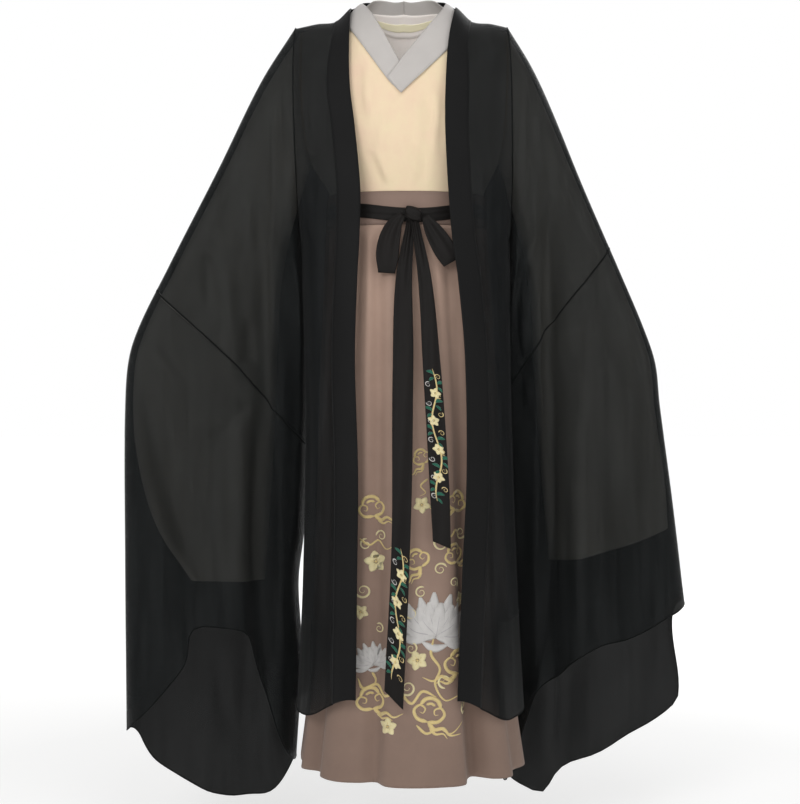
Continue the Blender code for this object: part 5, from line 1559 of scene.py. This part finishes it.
for side in ("r", "l"):
    flip = side == "l"
    for length in SLEEVE_LENGTHS:
        grid = sleeve_grid(ROBE, ROBE_SLEEVE_LINES[side], ROBE_HANG, side, length.start, length.end,
                           length.rows, SLEEVE_STEPS, SLEEVE_CREASES[side], SLEEVE_UNEVENNESS)
        tube = sheet(length.name + "_" + side, grid, sheer,
                     closed=True, flip=flip,
                     replaces=[length.name + "_front_" + side, length.name + "_back_" + side])
        tube.data.materials.append(dense)
        upper = length.name == "robe_sleeve"
        row, step = np.divmod(np.arange(len(tube.data.polygons)), grid.shape[1])
        corner = (row > length.rows - CORNER_ROWS) & (step < CORNER_STEPS) & (not upper)
        behind = (step >= SLEEVE_STEPS) | corner
        tube.data.polygons.foreach_set("material_index", behind.astype(np.int32))
        normals = outward(grid, True, flip)
        if upper:
            cord("robe_sleeve_seam_" + side, grid[-1] + normals[-1] * SLEEVE_SEAM_LIFT, normals[-1],
                 SLEEVE_SEAM, black_thread, closed=True)
            hole = grid[0] - np.array([SIGN[side] * ARMHOLE_GAP / 2, 0, 0])
            cord("robe_armhole_seam_" + side, hole, normals[2], ROBE_ARMHOLE_SEAM, black_thread,
                 closed=True)
        else:
            cord("robe_cuff_hem_" + side, grid[-1] - normals[-1] * SHELL / 2, normals[-1], ROLLED_HEM,
                 black_thread, closed=True)

# The ribbon belt
# A narrow black ribbon goes round the waistband and ties in front in a soft bow, its two loops
# dropping to either side. The tails hang down the skirt, one past the knee and one shorter.
RIBBON_CLOTH = 0.0014
RIBBON_SHELL = 0.0010
RIBBON_CRIMP = 0.0006
BELT_STEPS = 200
BELT_ROWS = 15
BELT_WIDTH = 0.025
BELT_Z = -0.372
BELT_DIP = 0.012
BELT_DIP_REACH = 28
KNOT_ANGLE = 86
KNOT = Vector((0.016, -0.1127, -0.383))
KNOT_SIZE = Vector((0.032, 0.0174, 0.026))
KNOT_SQUARENESS = 0.7
KNOT_WRAP = 0.045
KNOT_TILT = 0.25
LOOP_STEPS = 96
LOOP_ROWS = 17
LOOP_PLEAT = 0.0022
TAIL_ROWS = 150
TAIL_COLUMNS = 23
TAIL_PLEAT = 0.0016
TAIL_TWIST = 0.0018
TAIL_BOW = 0.0015
BOW_LOOPS = {
    "r": {"path": ((-0.0039, -0.1130, -0.386), (-0.018, -0.115, -0.405), (-0.028, -0.118, -0.440),
                   (-0.031, -0.121, -0.488)),
          "widths": ((0.0, 0.013), (0.3, 0.032), (0.7, 0.040), (1.0, 0.030)), "gap": 0.013},
    "l": {"path": ((0.0373, -0.1130, -0.389), (0.046, -0.115, -0.405), (0.064, -0.118, -0.435),
                   (0.084, -0.121, -0.470)),
          "widths": ((0.0, 0.013), (0.3, 0.030), (0.7, 0.038), (1.0, 0.032)), "gap": 0.011},
}
BELT_TAILS = {
    "long": {"left": ((0.004, -0.1120, -0.3951), (-0.015, -0.128, -0.500), (-0.020, -0.150, -0.640),
                      (-0.022, -0.190, -0.960), (-0.034, -0.214, -1.205)),
             "right": ((0.018, -0.1120, -0.3968), (0.014, -0.128, -0.500), (0.016, -0.150, -0.640),
                       (0.010, -0.190, -0.960), (-0.002, -0.214, -1.237))},
    "short": {"left": ((0.012, -0.1155, -0.3962), (0.024, -0.131, -0.500), (0.032, -0.150, -0.640),
                       (0.043, -0.170, -0.850), (0.049, -0.184, -0.955)),
              "right": ((0.026, -0.1155, -0.3977), (0.048, -0.131, -0.500), (0.062, -0.150, -0.640),
                        (0.077, -0.170, -0.850), (0.080, -0.184, -0.968))},
}

ribbon = woven("black_ribbon", (0.0085, 0.0070, 0.0062), (0.0065, 0.0055, 0.0050), 0.48, 0.03, 0.0004, 0.2,
               specular=0.14)

angle = np.linspace(0, 360, BELT_STEPS, endpoint=False)[None, :]
across = np.linspace(0.5, -0.5, BELT_ROWS)[:, None]
middle = BELT_Z - BELT_DIP * np.exp(-((angle - KNOT_ANGLE) / BELT_DIP_REACH) ** 2)
crimp = RIBBON_CRIMP * np.cos(np.pi * across * 5 + np.radians(angle) * 3) * np.cos(np.pi * across)
grid = skirt_surface(angle, middle + BELT_WIDTH * across, SEAM + RIBBON_CLOTH + crimp)
sheet("belt_round_waist", grid, ribbon,
      closed=True, flip=True, thickness=RIBBON_SHELL)

bpy.ops.object.select_all(action="DESELECT")
bpy.ops.mesh.primitive_uv_sphere_add(segments=64, ring_count=40, radius=1.0)
knot = bpy.context.object
for vert in knot.data.vertices:
    squared = Vector([math.copysign(abs(c) ** KNOT_SQUARENESS, c) for c in vert.co])
    turn = math.atan2(vert.co.y, vert.co.x)
    grown = 0.96 + KNOT_WRAP * math.sin(9 * vert.co.z + 2.0 * turn) * (1 - abs(vert.co.z) ** 3)
    vert.co = Vector([squared[i] * KNOT_SIZE[i] / 2 * grown for i in range(3)])
    vert.co.z -= vert.co.x * KNOT_TILT
    vert.co += KNOT
knot.data.shade_smooth()
knot.name = knot.data.name = "belt_knot_shape"
knot.data.materials.append(ribbon)
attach(knot, "root")
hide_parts("belt_knot")

for side in ("r", "l"):
    loop = BOW_LOOPS[side]
    turn = np.linspace(0, 2 * np.pi, LOOP_STEPS, endpoint=False)
    across = np.linspace(-0.5, 0.5, LOOP_ROWS)[:, None]
    out = (1 - np.cos(turn)) / 2
    centre = line_point(loop["path"], out)
    before, after = (line_point(loop["path"], np.clip(out + step, 0, 1)) for step in (-0.02, 0.02))
    ahead = after - before
    sideways = unit(np.stack([ahead[:, 2], 0 * out, -ahead[:, 0]], axis=1))
    width = smooth(loop["widths"], out)
    gap = loop["gap"] / 2 * np.sin(turn) * (0.5 + 0.5 * out)
    pleat = LOOP_PLEAT * np.cos(np.pi * across * 4 + 0.6) * ((1 - out) ** 0.7)[None, :]
    pleat = pleat * np.sin(turn)[None, :] ** 2
    grid = centre[None] + sideways[None] * (width[None, :] * across)[..., None]
    grid[..., 1] -= gap[None, :] + pleat
    sheet("belt_loop_" + side, grid, ribbon,
          closed=True, flip=side == "r", thickness=RIBBON_SHELL)


def tail_surface(name, share, across, out=0.0):
    """Points of a belt tail by their share of its length and their share of its width."""
    tail = BELT_TAILS[name]
    left, right = line_point(tail["left"], share), line_point(tail["right"], share)
    points = left + (right - left) * across[..., None]
    pleat = TAIL_PLEAT * np.cos(2 * np.pi * across * 2) * (1 - ease(share / 0.25))
    twist = TAIL_TWIST * np.sin(2 * np.pi * (across + share * 1.5)) * ease(share / 0.2)
    bow = TAIL_BOW * np.sin(np.pi * across) + twist
    points[..., 1] -= bow * np.sin(np.pi * across) ** 0.3 + pleat + out
    return points


for name, flat in (("long", (0.036, 0.86)), ("short", (0.032, 0.59))):
    share, across = np.broadcast_arrays(np.linspace(0, 1, TAIL_ROWS)[:, None],
                                        np.linspace(0, 1, TAIL_COLUMNS)[None, :])
    grid = tail_surface(name, share, across)
    sheet("belt_tail_" + name, grid, ribbon,
          thickness=RIBBON_SHELL)

# The embroidery of the tails
# A gold vine with green leaves, small gold flowers and silver curls climbs the lower part of
# each tail, in the same satin stitch as on the skirt.
Tail = namedtuple("Tail", "name length width top bottom")
TAILS = (Tail("long", 0.83, 0.033, -0.575, -0.800), Tail("short", 0.58, 0.031, -0.270, -0.505))
VINE_SWAY = 0.0060
VINE_TURN = 0.020
VINE_STEP = 0.0165
LEAF_SIZES = (0.0150, 0.0120)
FLOWER_SIZE = 0.0098
CURL_SIZE = 0.0052


def vine(top, bottom):
    """The strokes of one vine down the middle of a tail: stem, leaves, flowers and curls."""
    heights = np.linspace(top, bottom, 25)
    sway = VINE_SWAY * np.sin((top - heights) / VINE_TURN)
    stems = [Stroke(np.stack([sway, heights], axis=1), 0.0030, 0.0010, "cord")]
    leaves, flowers, curls = [], [], []
    for i, height in enumerate(np.arange(top - 0.010, bottom + 0.010, -VINE_STEP)):
        side = 1 if i % 2 else -1
        at = (VINE_SWAY * math.sin((top - height) / VINE_TURN), height)
        leaf = Stroke(((0, 0), (0.42 * side, 0.18), (0.95 * side, 0.05)), 0.42, 0.0012, "leaf")
        if i % 3 != 2:
            leaves.append(moved(leaf, at, LEAF_SIZES[0], 14 * side))
            leaves.append(moved(leaf, (at[0], at[1] - 0.006), LEAF_SIZES[1], -38 * side))
        else:
            flowers.append(Motif((at[0] * 0.5, at[1]), FLOWER_SIZE, 30 * i, 1))
        curls.append(Motif((-side * 0.0088, height - 0.003), CURL_SIZE, 60 * i, side))
    return stems, leaves, flowers, curls


for tail in TAILS:
    def on_tail(across, down, out, tail=tail):
        """Points on this tail, by their place across it and down from the knot."""
        return tail_surface(tail.name, -down / tail.length, 0.5 + across / tail.width, out)

    stems, leaves, flowers, curls = vine(tail.top, tail.bottom)
    for name, strokes, thread in (
            ("_vine", stems + motifs(CURL_LINES, curls[::2]), gold_thread),
            ("_leaves", leaves, green_thread),
            ("_flowers", motifs(BLOSSOM_PETALS, flowers), pale_gold_thread),
            ("_hearts", motifs(BLOSSOM_HEART, flowers), gold_thread),
            ("_curls", motifs(CURL_LINES, curls[1::2]), silver_thread)):
        stroke_mesh("tail_" + tail.name + name, strokes, on_tail, thread)
